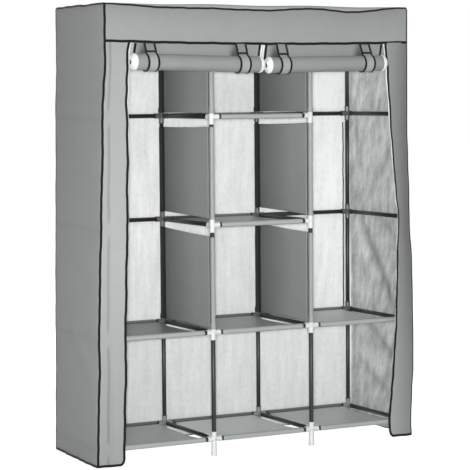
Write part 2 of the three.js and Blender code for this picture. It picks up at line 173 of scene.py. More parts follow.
floor_mesh = bpy.data.meshes.new("floor")
reach = FLOOR_SIZE / 2
floor_mesh.from_pydata(
    [(-reach, -reach, 0), (reach, -reach, 0), (reach, reach, 0), (-reach, reach, 0)], [], [(0, 1, 2, 3)]
)
floor = bpy.data.objects.new("floor", floor_mesh)
bpy.context.scene.collection.objects.link(floor)
floor_finish = bpy.data.materials.new("floor")
floor_finish.use_nodes = True
tree = floor_finish.node_tree
tree.nodes.clear()
matt = tree.nodes.new("ShaderNodeBsdfDiffuse")
matt.inputs["Color"].default_value = FLOOR_COLOUR
white = tree.nodes.new("ShaderNodeEmission")
white.inputs["Strength"].default_value = FLOOR_WHITE
amount = tree.nodes.new("ShaderNodeMath")
amount.operation = "MULTIPLY"
amount.inputs[1].default_value = FLOOR_WHITE_SHARE
blend = tree.nodes.new("ShaderNodeMixShader")
tree.links.new(seen_directly(tree), amount.inputs[0])
tree.links.new(amount.outputs[0], blend.inputs["Fac"])
tree.links.new(matt.outputs[0], blend.inputs[1])
tree.links.new(white.outputs[0], blend.inputs[2])
tree.links.new(blend.outputs[0], tree.nodes.new("ShaderNodeOutputMaterial").inputs["Surface"])
floor_mesh.materials.append(floor_finish)


# Tubes: thin-walled steel, 16 mm across, painted black. They are cut to one tier or one bay each
# and pushed into the connectors, where they stop short of each other.
TUBE_RADIUS = 0.008
TUBE_SIDES = 32
TUBE_EDGE = 0.0006
TUBE_STOP = 0.0118
STEEL_COLOUR = (0.010, 0.010, 0.011, 1)
STEEL_PALER_BY = 1.9
STEEL_ROUGHNESS = (0.34, 0.50)
GLOSS_SCALE = 26
PEEL_SCALE, PEEL_DETAIL = 420, 3
PEEL_STRENGTH, PEEL_HEIGHT = 0.12, 0.0004
NEARLY_UPRIGHT = 0.9


def add_object(name, mesh, body="root"):
    """Links a mesh as an object at the origin that rides on a body, or on none."""
    piece = bpy.data.objects.new(name, mesh)
    bpy.context.scene.collection.objects.link(piece)
    if body:
        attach(piece, body)
    return piece


def grid_faces(rows, columns, closed_columns=False):
    """Quads of a grid of points, row by row, whose normal is the column step crossed with the row step."""
    across = np.arange(columns if closed_columns else columns - 1)
    row, column = np.meshgrid(np.arange(rows - 1), across, indexing="ij")
    start, next_start = row * columns, (row + 1) * columns
    following = (column + 1) % columns
    corners = (start + column, start + following, next_start + following, next_start + column)
    return np.stack(corners, axis=-1).reshape(-1, 4)


def mesh_from(name, points, faces, uv=None, tone=None, slots=None, materials=(), smooth=True):
    """A mesh of points and quads, with a UV map in metres and a tone of painted shade and light for each
    point if they are given.
    """
    mesh = bpy.data.meshes.new(name)
    mesh.from_pydata(points.tolist(), [], [face.tolist() for face in faces])
    mesh.validate()
    corner_points = np.empty(len(mesh.loops), np.int32)
    mesh.loops.foreach_get("vertex_index", corner_points)
    if uv is not None:
        layer = mesh.uv_layers.new(name="cloth")
        layer.data.foreach_set("uv", uv[corner_points].astype(np.float32).ravel())
    if tone is not None:
        attribute = mesh.attributes.new("tone", "FLOAT", "POINT")
        attribute.data.foreach_set("value", tone.astype(np.float32))
    for material in materials:
        mesh.materials.append(material)
    if slots is not None:
        mesh.polygons.foreach_set("material_index", slots.astype(np.int32))
    mesh.polygons.foreach_set("use_smooth", np.full(len(mesh.polygons), smooth))
    mesh.update()
    return mesh


def frame_across(axis):
    """Two unit vectors square to an axis and to each other."""
    axis = np.asarray(axis, float)
    helper = np.array([0.0, 0.0, 1.0]) if abs(axis[2]) < NEARLY_UPRIGHT else np.array([1.0, 0.0, 0.0])
    first = np.cross(axis, helper)
    first /= np.linalg.norm(first)
    return first, np.cross(axis, first)


def turned(start, axis, profile, sides):
    """A solid of revolution: each (distance along the axis, radius) of the profile becomes a ring."""
    start, axis = np.asarray(start, float), np.asarray(axis, float)
    first, second = frame_across(axis)
    angle = np.arange(sides) * 2 * math.pi / sides
    ring = np.cos(angle)[:, None] * first + np.sin(angle)[:, None] * second
    along, radius = np.array(profile).T
    points = start + along[:, None, None] * axis + radius[:, None, None] * ring
    faces = grid_faces(len(profile), sides, closed_columns=True)
    count = len(profile) * sides
    ends = np.array([start + along[0] * axis, start + along[-1] * axis])
    spokes = np.arange(sides)
    following = (spokes + 1) % sides
    first_cap = np.stack([np.full(sides, count), following, spokes], axis=-1)
    last = count - sides
    last_cap = np.stack([np.full(sides, count + 1), last + spokes, last + following], axis=-1)
    return np.vstack([points.reshape(-1, 3), ends]), [*faces, *first_cap, *last_cap]


def painted_steel():
    """Black enamel on steel: satin, with a faint orange peel and small differences in gloss."""
    material = bpy.data.materials.new("painted_steel")
    material.use_nodes = True
    tree = material.node_tree
    shader = tree.nodes["Principled BSDF"]
    place = tree.nodes.new("ShaderNodeTexCoord")
    peel = tree.nodes.new("ShaderNodeTexNoise")
    peel.inputs["Scale"].default_value = PEEL_SCALE
    peel.inputs["Detail"].default_value = PEEL_DETAIL
    gloss = tree.nodes.new("ShaderNodeTexNoise")
    gloss.inputs["Scale"].default_value = GLOSS_SCALE
    gloss_range = tree.nodes.new("ShaderNodeMapRange")
    for end, roughness in zip(("To Min", "To Max"), STEEL_ROUGHNESS):
        gloss_range.inputs[end].default_value = roughness
    tint = tree.nodes.new("ShaderNodeMix")
    tint.data_type = "RGBA"
    tint.inputs[6].default_value = STEEL_COLOUR
    tint.inputs[7].default_value = tuple(STEEL_PALER_BY * part for part in STEEL_COLOUR[:3]) + (1,)
    bump = tree.nodes.new("ShaderNodeBump")
    bump.inputs["Strength"].default_value = PEEL_STRENGTH
    bump.inputs["Distance"].default_value = PEEL_HEIGHT
    for noise in (peel, gloss):
        tree.links.new(place.outputs["Object"], noise.inputs["Vector"])
    tree.links.new(gloss.outputs["Fac"], gloss_range.inputs["Value"])
    tree.links.new(gloss.outputs["Fac"], tint.inputs[0])
    tree.links.new(gloss_range.outputs[0], shader.inputs["Roughness"])
    tree.links.new(tint.outputs[2], shader.inputs["Base Color"])
    tree.links.new(peel.outputs["Fac"], bump.inputs["Height"])
    tree.links.new(bump.outputs[0], shader.inputs["Normal"])
    return material


STEEL = painted_steel()


def tube(name, start, axis, length, *nodes):
    """A cut tube with a small round on its ends, standing for the nodes."""
    profile = [
        (0, TUBE_RADIUS - TUBE_EDGE),
        (TUBE_EDGE, TUBE_RADIUS),
        (length - TUBE_EDGE, TUBE_RADIUS),
        (length, TUBE_RADIUS - TUBE_EDGE),
    ]
    points, faces = turned(start, axis, profile, TUBE_SIDES)
    piece = add_object(name, mesh_from(name, points, faces, materials=[STEEL]))
    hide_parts(*nodes)
    return piece


for tier, z in zip(TIERS, TIER_Z):
    for bay, x in zip(BAYS, LADDER_X):
        for row, y in ROW_Y.items():
            node = f"rail_{tier}_{bay}_{row}"
            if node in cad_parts:
                tube(f"tube_{tier}_{bay}_{row}", (x + TUBE_STOP, y, z), (1, 0, 0), BAY - 2 * TUBE_STOP, node)
for bay, x in zip(BAYS, LADDER_X):
    if bay != "middle":
        tube(
            f"hanging_tube_{bay}", (x + TUBE_STOP, CENTRE_Y, TOP_Z), (1, 0, 0), BAY - 2 * TUBE_STOP,
            f"hanging_rail_{bay}",
        )
for ladder, x in zip(LADDERS, LADDER_X):
    for tier, z in zip(TIERS, TIER_Z):
        tube(
            f"depth_tube_{tier}_{ladder}", (x, ROW_Y["front"] + TUBE_STOP, z), (0, 1, 0),
            2 * (HALF_DEPTH - TUBE_STOP), f"ladder_{ladder}",
        )
    for row, y in ROW_Y.items():
        for tier, z in zip(TIERS[:-1], TIER_Z):
            tube(
                f"post_{ladder}_{row}_above_{tier}", (x, y, z + TUBE_STOP), (0, 0, 1),
                RISE - 2 * TUBE_STOP, f"ladder_{ladder}",
            )


# Connectors: moulded plastic hubs with a short socket for each tube, thicker at the mouth. All are
# white plastic; the back ones are coloured grey as painted shade, less dark at the lowest tier. The
# lowest ones run on down as a tapered foot.
SOCKET_RADIUS = 0.0098
SOCKET_LIP = 0.0106
SOCKET_LIP_LENGTH = 0.004
SOCKET_REACH = 0.027
SOCKET_BORE = 0.0083
SOCKET_SIDES = 28
HUB_LENGTH_SHARE, HUB_RADIUS_SHARE = 0.5, 0.72
LIP_SLOPE_SHARE = 0.8
BORE_FROM_SHARE, BORE_TO_SHARE = 0.97, 1.2
FOOT_RADIUS = 0.0108
FOOT_SOLE = 0.0016
HEEL_HEIGHT_SHARE, HEEL_RADIUS_SHARE = 0.25, 0.97
NECK_HEIGHT_SHARE, NECK_RADIUS_SHARE = 0.8, 0.9
NECK_TOP_SHARE = 0.6
MOULD_EDGE = 0.0004
WHITE_PLASTIC = {"colour": (0.80, 0.81, 0.80), "roughness": 0.42}
# The grey plastics are the white plastic darkened as painted shade, less so at the lowest tier.
WHITE_PLASTIC_PAINTED_SHADE = {"colour": (0.125, 0.130, 0.128), "roughness": 0.30}
WHITE_PLASTIC_PAINTED_LIGHT_SHADE = {"colour": (0.27, 0.28, 0.275), "roughness": 0.26}
MILKY_SHARE, MILKY_DEPTH = 0.15, 0.004
FLOW_SCALE, FLOW_DETAIL = 60, 4
FLOW_TONE_SHARE = 0.85
GRAIN_SCALE = 1500
GRAIN_STRENGTH, GRAIN_HEIGHT = 0.1, 0.0003


def moulded_plastic(name, colour, roughness):
    """Moulded plastic of one colour, slightly milky, with a fine matt texture."""
    material = bpy.data.materials.new(name)
    material.use_nodes = True
    tree = material.node_tree
    shader = tree.nodes["Principled BSDF"]
    shader.inputs["Roughness"].default_value = roughness
    shader.inputs["Subsurface Weight"].default_value = MILKY_SHARE
    shader.inputs["Subsurface Scale"].default_value = MILKY_DEPTH
    place = tree.nodes.new("ShaderNodeTexCoord")
    flow = tree.nodes.new("ShaderNodeTexNoise")
    flow.inputs["Scale"].default_value = FLOW_SCALE
    flow.inputs["Detail"].default_value = FLOW_DETAIL
    tint = tree.nodes.new("ShaderNodeMix")
    tint.data_type = "RGBA"
    tint.inputs[6].default_value = tuple(FLOW_TONE_SHARE * part for part in colour) + (1,)
    tint.inputs[7].default_value = (*colour, 1)
    fine = tree.nodes.new("ShaderNodeTexNoise")
    fine.inputs["Scale"].default_value = GRAIN_SCALE
    bump = tree.nodes.new("ShaderNodeBump")
    bump.inputs["Strength"].default_value = GRAIN_STRENGTH
    bump.inputs["Distance"].default_value = GRAIN_HEIGHT
    for noise in (flow, fine):
        tree.links.new(place.outputs["Object"], noise.inputs["Vector"])
    tree.links.new(flow.outputs["Fac"], tint.inputs[0])
    tree.links.new(tint.outputs[2], shader.inputs["Base Color"])
    tree.links.new(fine.outputs["Fac"], bump.inputs["Height"])
    tree.links.new(bump.outputs[0], shader.inputs["Normal"])
    return material


WHITE_CONNECTOR = moulded_plastic("white_plastic", **WHITE_PLASTIC)
BACK_CONNECTOR = moulded_plastic("white_plastic_painted_shade", **WHITE_PLASTIC_PAINTED_SHADE)
BACK_FOOT = moulded_plastic("white_plastic_painted_light_shade", **WHITE_PLASTIC_PAINTED_LIGHT_SHADE)


def scratch_object(points, faces):
    """An object for a join or a cut, removed once it is used."""
    piece = bpy.data.objects.new("scratch", mesh_from("scratch", points, faces))
    bpy.context.scene.collection.objects.link(piece)
    return piece


def moulded(bodies, bores):
    """One mesh from overlapping solids less the bores, its edges rounded by a small bevel."""
    base = scratch_object(*bodies[0])
    others = [(scratch_object(*solid), "UNION") for solid in bodies[1:]]
    others += [(scratch_object(*solid), "DIFFERENCE") for solid in bores]
    for other, operation in others:
        step = base.modifiers.new("step", "BOOLEAN")
        step.operation = operation
        step.solver = "EXACT"
        step.object = other
    bevel = base.modifiers.new("edge", "BEVEL")
    bevel.width = MOULD_EDGE
    bevel.segments = 2
    bevel.limit_method = "ANGLE"
    mesh = bpy.data.meshes.new_from_object(base.evaluated_get(bpy.context.evaluated_depsgraph_get()))
    for piece in [base] + [other for other, _ in others]:
        bpy.data.objects.remove(piece)
    return mesh


SOCKET_PROFILE = [
    (-SOCKET_RADIUS * HUB_LENGTH_SHARE, SOCKET_RADIUS * HUB_RADIUS_SHARE),
    (0, SOCKET_RADIUS),
    (SOCKET_REACH - SOCKET_LIP_LENGTH, SOCKET_RADIUS),
    (SOCKET_REACH - SOCKET_LIP_LENGTH * LIP_SLOPE_SHARE, SOCKET_LIP),
    (SOCKET_REACH, SOCKET_LIP),
]
connector_meshes = {}


def connector_mesh(arms, has_foot):
    """A hub at the origin with a bored socket along each arm and, at the floor, a tapered foot."""
    key = (tuple(arms), has_foot)
    if key not in connector_meshes:
        bodies = [turned((0, 0, 0), arm, SOCKET_PROFILE, SOCKET_SIDES) for arm in arms]
        if has_foot:
            low = TIER_Z[0]
            neck_radius = SOCKET_RADIUS * NECK_RADIUS_SHARE
            foot = [
                (0, FOOT_RADIUS - FOOT_SOLE),
                (FOOT_SOLE, FOOT_RADIUS),
                (low * HEEL_HEIGHT_SHARE, FOOT_RADIUS * HEEL_RADIUS_SHARE),
                (low * NECK_HEIGHT_SHARE, neck_radius),
                (low + SOCKET_RADIUS * NECK_TOP_SHARE, neck_radius),
            ]
            bodies.append(turned((0, 0, -low), (0, 0, 1), foot, SOCKET_SIDES))
        bore = [(TUBE_STOP * BORE_FROM_SHARE, SOCKET_BORE), (SOCKET_REACH * BORE_TO_SHARE, SOCKET_BORE)]
        bores = [turned((0, 0, 0), arm, bore, SOCKET_SIDES) for arm in arms]
        connector_meshes[key] = moulded(bodies, bores)
    return connector_meshes[key]


def connector(name, place, arms, has_foot, plastic, node):
    """A copy of a connector's mesh, moved to its place."""
    mesh = connector_mesh(arms, has_foot).copy()
    mesh.transform(Matrix.Translation(place))
    mesh.name = name
    mesh.materials.append(plastic)
    mesh.polygons.foreach_set("use_smooth", np.full(len(mesh.polygons), False))
    piece = add_object(name, mesh)
    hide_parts(node)
    return piece


for index, (ladder, x) in enumerate(zip(LADDERS, LADDER_X)):
    sides = [(-1, BAYS[index - 1] if index > 0 else None), (1, BAYS[index] if index < len(BAYS) else None)]
    for row, y in ROW_Y.items():
        for tier, z in zip(TIERS, TIER_Z):
            arms = [(arm, 0, 0) for arm, bay in sides if bay and f"rail_{tier}_{bay}_{row}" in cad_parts]
            arms.append((0, 1 if row == "front" else -1, 0))
            if tier != "top":
                arms.append((0, 0, 1))
            if tier != "low":
                arms.append((0, 0, -1))
            # The back connectors take a grey copy of the white plastic as painted shade.
            plastic = WHITE_CONNECTOR if row == "front" else BACK_FOOT if tier == "low" else BACK_CONNECTOR
            connector(
                f"connector_{ladder}_{row}_{tier}", (x, y, z), arms, tier == "low", plastic,
                f"ladder_{ladder}",
            )
    for arm, bay in sides:
        if bay and bay != "middle":
            connector(
                f"hanger_socket_{ladder}", (x, CENTRE_Y, TOP_Z), [(arm, 0, 0), (0, 1, 0), (0, -1, 0)],
                False, WHITE_CONNECTOR, f"ladder_{ladder}",
            )


# Cloth: non-woven polypropylene, pressed with a grid of fine points. The cover is grey outside and
# has a whitish, mottled lining inside. Shelves and dividers are plain grey on both sides.
CLOTH_COLOUR = (0.352, 0.370, 0.365, 1)
# The left strip's lighter grey is painted light: the strip is cut from the cover's cloth.
LEFT_STRIP_PAINTED_LIGHT_COLOUR = (0.475, 0.497, 0.491, 1)
SHELF_COLOUR = (0.375, 0.394, 0.389, 1)
DIVIDER_COLOUR = (0.310, 0.326, 0.322, 1)
LINING_COLOUR = (0.875, 0.893, 0.888, 1)
BINDING_COLOUR = (0.006, 0.006, 0.006, 1)
POINTS_PER_METRE = 620.0
POINT_SCATTER_SHARE = 0.25
PIT_RIM_SHARE = 0.45
PIT_SHARE, FIBRE_SHARE = 1.6, 0.35
CLOUDY_SHARE, PATCHY_SHARE, EVEN_SHARE = 0.09, 0.06, 0.925
FIBRES = {"scale": 1900, "detail": 3, "stretch": (1, 0.35, 1)}
CLOUDINESS = {"scale": 16, "detail": 4}
PATCHES = {"scale": 150, "detail": 3}
CLOTH_RELIEF = 0.0005


def new_group(name, inputs, outputs):
    """An empty shader group with number or vector inputs and number outputs."""
    group = bpy.data.node_groups.new(name, "ShaderNodeTree")
    for label, kind, value in inputs:
        socket = group.interface.new_socket(label, in_out="INPUT", socket_type=kind)
        if value is not None:
            socket.default_value = value
    for label in outputs:
        group.interface.new_socket(label, in_out="OUTPUT", socket_type="NodeSocketFloat")
    return group, group.nodes.new("NodeGroupInput"), group.nodes.new("NodeGroupOutput")


def number(group, operation, first, second):
    """A Math node between two sockets or values, and its result."""
    node = group.nodes.new("ShaderNodeMath")
    node.operation = operation
    for socket, value in zip(node.inputs, (first, second)):
        if isinstance(value, (int, float)):
            socket.default_value = value
        else:
            group.links.new(value, socket)
    return node.outputs[0]


def weighted(group, first, first_share, second, second_share):
    """The sum of two values, each times its share."""
    return number(
        group, "ADD", number(group, "MULTIPLY", first, first_share),
        number(group, "MULTIPLY", second, second_share),
    )


def noise(group, vector, scale, detail, stretch=None):
    """A noise texture, its vector stretched by a Mapping node if asked, and its value."""
    if stretch is not None:
        mapping = group.nodes.new("ShaderNodeMapping")
        mapping.inputs["Scale"].default_value = stretch
        group.links.new(vector, mapping.inputs["Vector"])
        vector = mapping.outputs[0]
    texture = group.nodes.new("ShaderNodeTexNoise")
    texture.inputs["Scale"].default_value = scale
    texture.inputs["Detail"].default_value = detail
    group.links.new(vector, texture.inputs["Vector"])
    return texture.outputs["Fac"]


def pressed_cloth():
    """Group: the points pressed into non-woven cloth, its fibres, and its uneven density."""
    group, given, result = new_group(
        "pressed_cloth",
        [("Vector", "NodeSocketVector", None), ("Points per metre", "NodeSocketFloat", POINTS_PER_METRE)],
        ["Height", "Tone"],
    )
    vector = given.outputs["Vector"]
    points = group.nodes.new("ShaderNodeTexVoronoi")
    points.inputs["Randomness"].default_value = POINT_SCATTER_SHARE
    group.links.new(vector, points.inputs["Vector"])
    group.links.new(given.outputs["Points per metre"], points.inputs["Scale"])
    pits = number(group, "MINIMUM", points.outputs["Distance"], PIT_RIM_SHARE)
    height = weighted(group, pits, PIT_SHARE, noise(group, vector, **FIBRES), FIBRE_SHARE)
    group.links.new(height, result.inputs["Height"])
    cloudy = noise(group, vector, **CLOUDINESS)
    patchy = noise(group, vector, **PATCHES)
    tone = number(group, "ADD", weighted(group, cloudy, CLOUDY_SHARE, patchy, PATCHY_SHARE), EVEN_SHARE)
    group.links.new(tone, result.inputs["Tone"])
    return group


CLOUD_LEAN = math.radians(22)
CLOUD_LENGTH = 2.4
CLOUDS = {"scale": 30, "detail": 4}
STREAKS_DOWN = {"scale": 42, "detail": 4, "stretch": (1, 0.14, 1)}
BLOTCHES = {"scale": 90, "detail": 5, "stretch": (1, 0.7, 1)}
STREAK_SHARE, BLOTCH_SHARE = 0.6, 0.4
NOISE_MEAN = 0.5


def fibre_streaks():
    """Group: the lining's blotches, the streaks that run down it, and soft clouds that lean across it."""
    group, given, result = new_group(
        "fibre_streaks",
        [
            ("Vector", "NodeSocketVector", None),
            ("Amount", "NodeSocketFloat", None),
            ("Clouds", "NodeSocketFloat", None),
        ],
        ["Height", "Tone"],
    )
    vector = given.outputs["Vector"]
    streaks = noise(group, vector, **STREAKS_DOWN)
    blotches = noise(group, vector, **BLOTCHES)
    mixed = weighted(group, streaks, STREAK_SHARE, blotches, BLOTCH_SHARE)
    leaning = group.nodes.new("ShaderNodeMapping")
    leaning.vector_type = "TEXTURE"
    leaning.inputs["Rotation"].default_value = (0, 0, CLOUD_LEAN)
    leaning.inputs["Scale"].default_value = (1, CLOUD_LENGTH, 1)
    group.links.new(vector, leaning.inputs["Vector"])
    clouds = noise(group, leaning.outputs[0], **CLOUDS)
    uneven = weighted(
        group, number(group, "SUBTRACT", mixed, NOISE_MEAN), given.outputs["Amount"],
        number(group, "SUBTRACT", clouds, NOISE_MEAN), given.outputs["Clouds"],
    )
    group.links.new(number(group, "ADD", uneven, 1.0), result.inputs["Tone"])
    group.links.new(mixed, result.inputs["Height"])
    return group


PRESSED = pressed_cloth()
STREAKS = fibre_streaks()


def cloth_finish(
    name, colour, streaks=0.0, clouds=0.0, follows="cloth", sheen=0.04, roughness=0.92, relief=0.35,
    shine=0.25,
):
    """Pressed cloth of one colour times the tone painted on the piece, its painted shade and light, mottled
    by streaks if it is lining.
    """
    material = bpy.data.materials.new(name)
    material.use_nodes = True
    tree = material.node_tree
    shader = tree.nodes["Principled BSDF"]
    shader.inputs["Roughness"].default_value = roughness
    shader.inputs["Specular IOR Level"].default_value = shine
    shader.inputs["Sheen Weight"].default_value = sheen
    if follows == "cloth":
        place = tree.nodes.new("ShaderNodeUVMap")
        place.uv_map = "cloth"
        vector = place.outputs[0]
    else:
        vector = tree.nodes.new("ShaderNodeTexCoord").outputs["Object"]
    cloth = tree.nodes.new("ShaderNodeGroup")
    cloth.node_tree = PRESSED
    tree.links.new(vector, cloth.inputs["Vector"])
    painted_tone = tree.nodes.new("ShaderNodeAttribute")
    painted_tone.attribute_name = "tone"
    tone = number(tree, "MULTIPLY", cloth.outputs["Tone"], painted_tone.outputs["Fac"])
    height = cloth.outputs["Height"]
    if streaks:
        lining = tree.nodes.new("ShaderNodeGroup")
        lining.node_tree = STREAKS
        lining.inputs["Amount"].default_value = streaks
        lining.inputs["Clouds"].default_value = clouds
        tree.links.new(vector, lining.inputs["Vector"])
        tone = number(tree, "MULTIPLY", tone, lining.outputs["Tone"])
        height = number(tree, "ADD", height, lining.outputs["Height"])
    scaled = tree.nodes.new("ShaderNodeVectorMath")
    scaled.operation = "SCALE"
    scaled.inputs[0].default_value = colour[:3]
    tree.links.new(tone, scaled.inputs["Scale"])
    tree.links.new(scaled.outputs[0], shader.inputs["Base Color"])
    bump = tree.nodes.new("ShaderNodeBump")
    bump.inputs["Strength"].default_value = relief
    bump.inputs["Distance"].default_value = CLOTH_RELIEF
    tree.links.new(height, bump.inputs["Height"])
    tree.links.new(bump.outputs[0], shader.inputs["Normal"])
    return material


COVER_CLOTH = cloth_finish("cover_cloth", CLOTH_COLOUR)
LEFT_STRIP_PAINTED_LIGHT_CLOTH = cloth_finish("left_strip_painted_light", LEFT_STRIP_PAINTED_LIGHT_COLOUR)
CURTAIN_CLOTH = cloth_finish("curtain_cloth", CLOTH_COLOUR, follows="object")
SHELF_CLOTH = cloth_finish("shelf_cloth", SHELF_COLOUR, roughness=0.42, relief=0.10, shine=0.7)
DIVIDER_CLOTH = cloth_finish("divider_cloth", DIVIDER_COLOUR, sheen=0.0)
LINING = cloth_finish("lining", LINING_COLOUR, streaks=0.6, sheen=0.02)
CREASED_LINING = cloth_finish("creased_lining", LINING_COLOUR, streaks=1.1, clouds=1.3, sheen=0.02)
CURTAIN_LINING = cloth_finish("curtain_lining", LINING_COLOUR, streaks=0.6, follows="object", sheen=0.02)
BINDING = cloth_finish("binding", BINDING_COLOUR, sheen=0.10)


def run_length(points, axis):
    """Metres run from the first row or column of a grid of points."""
    steps = np.linalg.norm(np.diff(points, axis=axis), axis=-1)
    start = np.zeros_like(np.take(steps, [0], axis=axis))
    return np.cumsum(np.concatenate([start, steps], axis=axis), axis=axis)


def face_normals(points):
    """Unit normals of a grid of points: the column step crossed with the row step."""
    normal = np.cross(np.gradient(points, axis=1), np.gradient(points, axis=0))
    return normal / np.maximum(np.linalg.norm(normal, axis=-1, keepdims=True), 1e-12)


def cloth_shell(points, thickness, inside_of, tone=1.0, back_tone=None):
    """A closed sheet of even thickness under a grid of points.

    The face looks away from the point inside_of. The other face lies the thickness behind it, along
    the grid's normals, and a rim of quads closes the four edges. Both faces take the same tone,
    unless the back is given its own.
    """
    normal = face_normals(points)
    outward = np.sign(np.sum(normal * (points - np.asarray(inside_of))))
    rows, columns = points.shape[:2]
    count = rows * columns
    back = points - normal * outward * thickness
    face = grid_faces(rows, columns)
    if outward < 0:
        face = face[:, ::-1]
    index = np.arange(count).reshape(rows, columns)
    rim = np.concatenate([index[0, :-1], index[:-1, -1], index[-1, :0:-1], index[:0:-1, 0]])
    follow = np.roll(rim, -1)
    sides = np.stack([follow, rim, rim + count, follow + count], axis=-1)
    if outward < 0:
        sides = sides[:, ::-1]
    uv = np.stack([run_length(points, 1), run_length(points, 0)], axis=-1).reshape(-1, 2)
    tones = (tone, tone if back_tone is None else back_tone)
    return {
        "points": np.vstack([points.reshape(-1, 3), back.reshape(-1, 3)]),
        "faces": np.vstack([face, face[:, ::-1] + count, sides]),
        "slots": np.concatenate([np.zeros(len(face)), np.ones(len(face)), np.zeros(len(sides))]),
        "uv": np.vstack([uv, uv]),
        "tone": np.concatenate([np.broadcast_to(face_tone, (rows, columns)).ravel() for face_tone in tones]),
    }


def cloth_piece(name, shells, materials, slot, *nodes, body="root"):
    """One object from closed sheets: the first material on their faces, the last on their backs."""
    offset, points, faces, slots, uv, tone = 0, [], [], [], [], []
    for shell in shells:
        points.append(shell["points"])
        faces.append(shell["faces"] + offset)
        slots.append(shell["slots"] * (len(materials) - 1))
        uv.append(shell["uv"])
        tone.append(shell["tone"])
        offset += len(shell["points"])
    mesh = mesh_from(
        name, np.vstack(points), np.vstack(faces), np.vstack(uv), np.concatenate(tone),
        np.concatenate(slots), materials,
    )
    piece = add_object(name, mesh, body)
    if nodes:
        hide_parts(*nodes)
    return piece


# Shelves: one cloth doubled over, with a sleeve stitched in at the front and the back. The sleeves
# are slipped over the rails before these go into their connectors, and the cloth sags a little.
SLEEVE_RADIUS = 0.0094
SLEEVE_STITCH = 0.024
SLEEVE_CLOTH = 0.0008
SHELF_CLOTH_THICKNESS = 0.0016
SHELF_INSET = 0.037
SHELF_SAG = 0.006
STITCH_SHADE = 0.75
STITCH_SHADE_SHARE = 0.07
FLANK_FROM = math.radians(46)
FLANK_FADE = math.radians(16)
SLEEVE_STEPS, STITCH_STEPS = 26, 6
STITCH_LIFT_SHARE = 0.25
PANEL_COLUMNS, PANEL_ROWS = 61, 49
WRINKLES = [(0.0007, 9, 2.1), (0.00042, 19, -1.4)]
EDGE_PULL = 0.0022
RIPPLE_SHARE, RIPPLE_RATE = 0.012, 23
SHELF_TONE = 1.04
SHELF_BACK_SHADE, SHELF_RIGHT_SHADE = 0.14, 0.08
SEEDS_PER_TIER = 10
# Painted light and shade on each listed shelf's panel, in place of how its glossy cloth catches the light.
SHELF_PAINTED_LIGHT_AND_SHADE_SHARES = {
    ("second", "left"): 0.44, ("low", "left"): 1.33, ("low", "middle"): 1.90,
    ("second", "right"): 1.73, ("low", "right"): 1.39, ("fourth", "middle"): 1.41,
}


def sleeve_path():
    """The sleeve round a tube at the origin: out from the stitching, round the tube and back to it.

    The straight stretches touch the circle where a line from the stitching is tangent to it. The
    first number runs away from the panel and the second square to it.
    """
    touch = math.acos(SLEEVE_RADIUS / SLEEVE_STITCH)
    turn = np.linspace(math.pi - touch, touch - math.pi, SLEEVE_STEPS)
    arc = np.stack([SLEEVE_RADIUS * np.cos(turn), SLEEVE_RADIUS * np.sin(turn)], axis=-1)
    share = np.linspace(0, 1, STITCH_STEPS)[:, None]
    stitch = np.array([-SLEEVE_STITCH, SHELF_CLOTH_THICKNESS * STITCH_LIFT_SHARE])
    start = stitch + (arc[0] - stitch) * share[:-1]
    below = stitch * (1, -1)
    end = arc[-1] + (below - arc[-1]) * share[1:]
    return np.vstack([start, arc, end])


def sleeved_shells(length, sag, along, across, square, origin, tones, seed):
    """The three closed sheets of a sleeved cloth: its panel and its two sleeves.

    along runs down the tubes, across from the front tube to the back one, and square up from the
    panel. The panel sags as one minus the square of the place across it, with shallow wrinkles that
    run across it, and its open edges curve in a little at their middle. The sleeves carry painted
    shade at the stitching, and on their flanks by the share that the tones give.
    """
    along, across, square = (np.asarray(v, float) for v in (along, across, square))
    origin = np.asarray(origin, float)
    rng = np.random.default_rng(seed)
    phase = rng.uniform(0, 2 * math.pi, 6)
    panel_span = HALF_DEPTH - SLEEVE_STITCH
    v = np.linspace(0, 1, PANEL_COLUMNS)[None, :]
    u = np.linspace(-1, 1, PANEL_ROWS)[:, None]
    wrinkle = sum(
        height * np.sin(along_rate * v + across_rate * u + start)
        for (height, along_rate, across_rate), start in zip(WRINKLES, phase)
    )
    place_along = v * length + EDGE_PULL * (1 - u ** 2) * (1 - 2 * v)
    place_across = u * panel_span + 0 * v
    lift = (wrinkle - sag) * (1 - u ** 2) + SHELF_CLOTH_THICKNESS / 2
    panel = origin + sum(
        place[..., None] * direction
        for place, direction in ((place_along, along), (place_across, across), (lift, square))
    )
    shade = tones["panel"](u + 0 * v, v + 0 * u)
    below = origin + along * length / 2 - square
    shells = [cloth_shell(panel, SHELF_CLOTH_THICKNESS, below, shade)]
    path = sleeve_path()
    ends = np.linspace(0, 1, PANEL_COLUMNS)
    round_share = np.linspace(0, 1, len(path))[:, None]
    to_stitch = np.minimum(round_share, 1 - round_share)
    stitch_shade = 1 - STITCH_SHADE * np.exp(-((to_stitch / STITCH_SHADE_SHARE) ** 2))
    facing = np.abs(np.arctan2(path[:, 1], path[:, 0]))[:, None]
    stitch_shade = stitch_shade * (1 - tones["flanks"] * np.clip((facing - FLANK_FROM) / FLANK_FADE, 0, 1))
    for side, label in ((-1, "front"), (1, "back")):
        centre = origin + across * side * HALF_DEPTH
        out, flat = path[:, 0][:, None], path[:, 1][:, None]
        ripple = 1 + RIPPLE_SHARE * np.sin(RIPPLE_RATE * ends + phase[2 + (side > 0)])[None, :]
        points = (
            centre
            + (ends * length)[None, :, None] * along
            + (out * side * ripple)[..., None] * across
            + (flat * ripple)[..., None] * square
        )
        shade = tones[label] * stitch_shade
        shells.append(cloth_shell(points, SLEEVE_CLOTH, centre + along * length / 2, shade))
    return shells


def shelf_shade(u, v):
    """Darker towards the back and the right, where the cubby shades the cloth."""
    return SHELF_TONE - SHELF_BACK_SHADE * (u + 1) / 2 - SHELF_RIGHT_SHADE * v
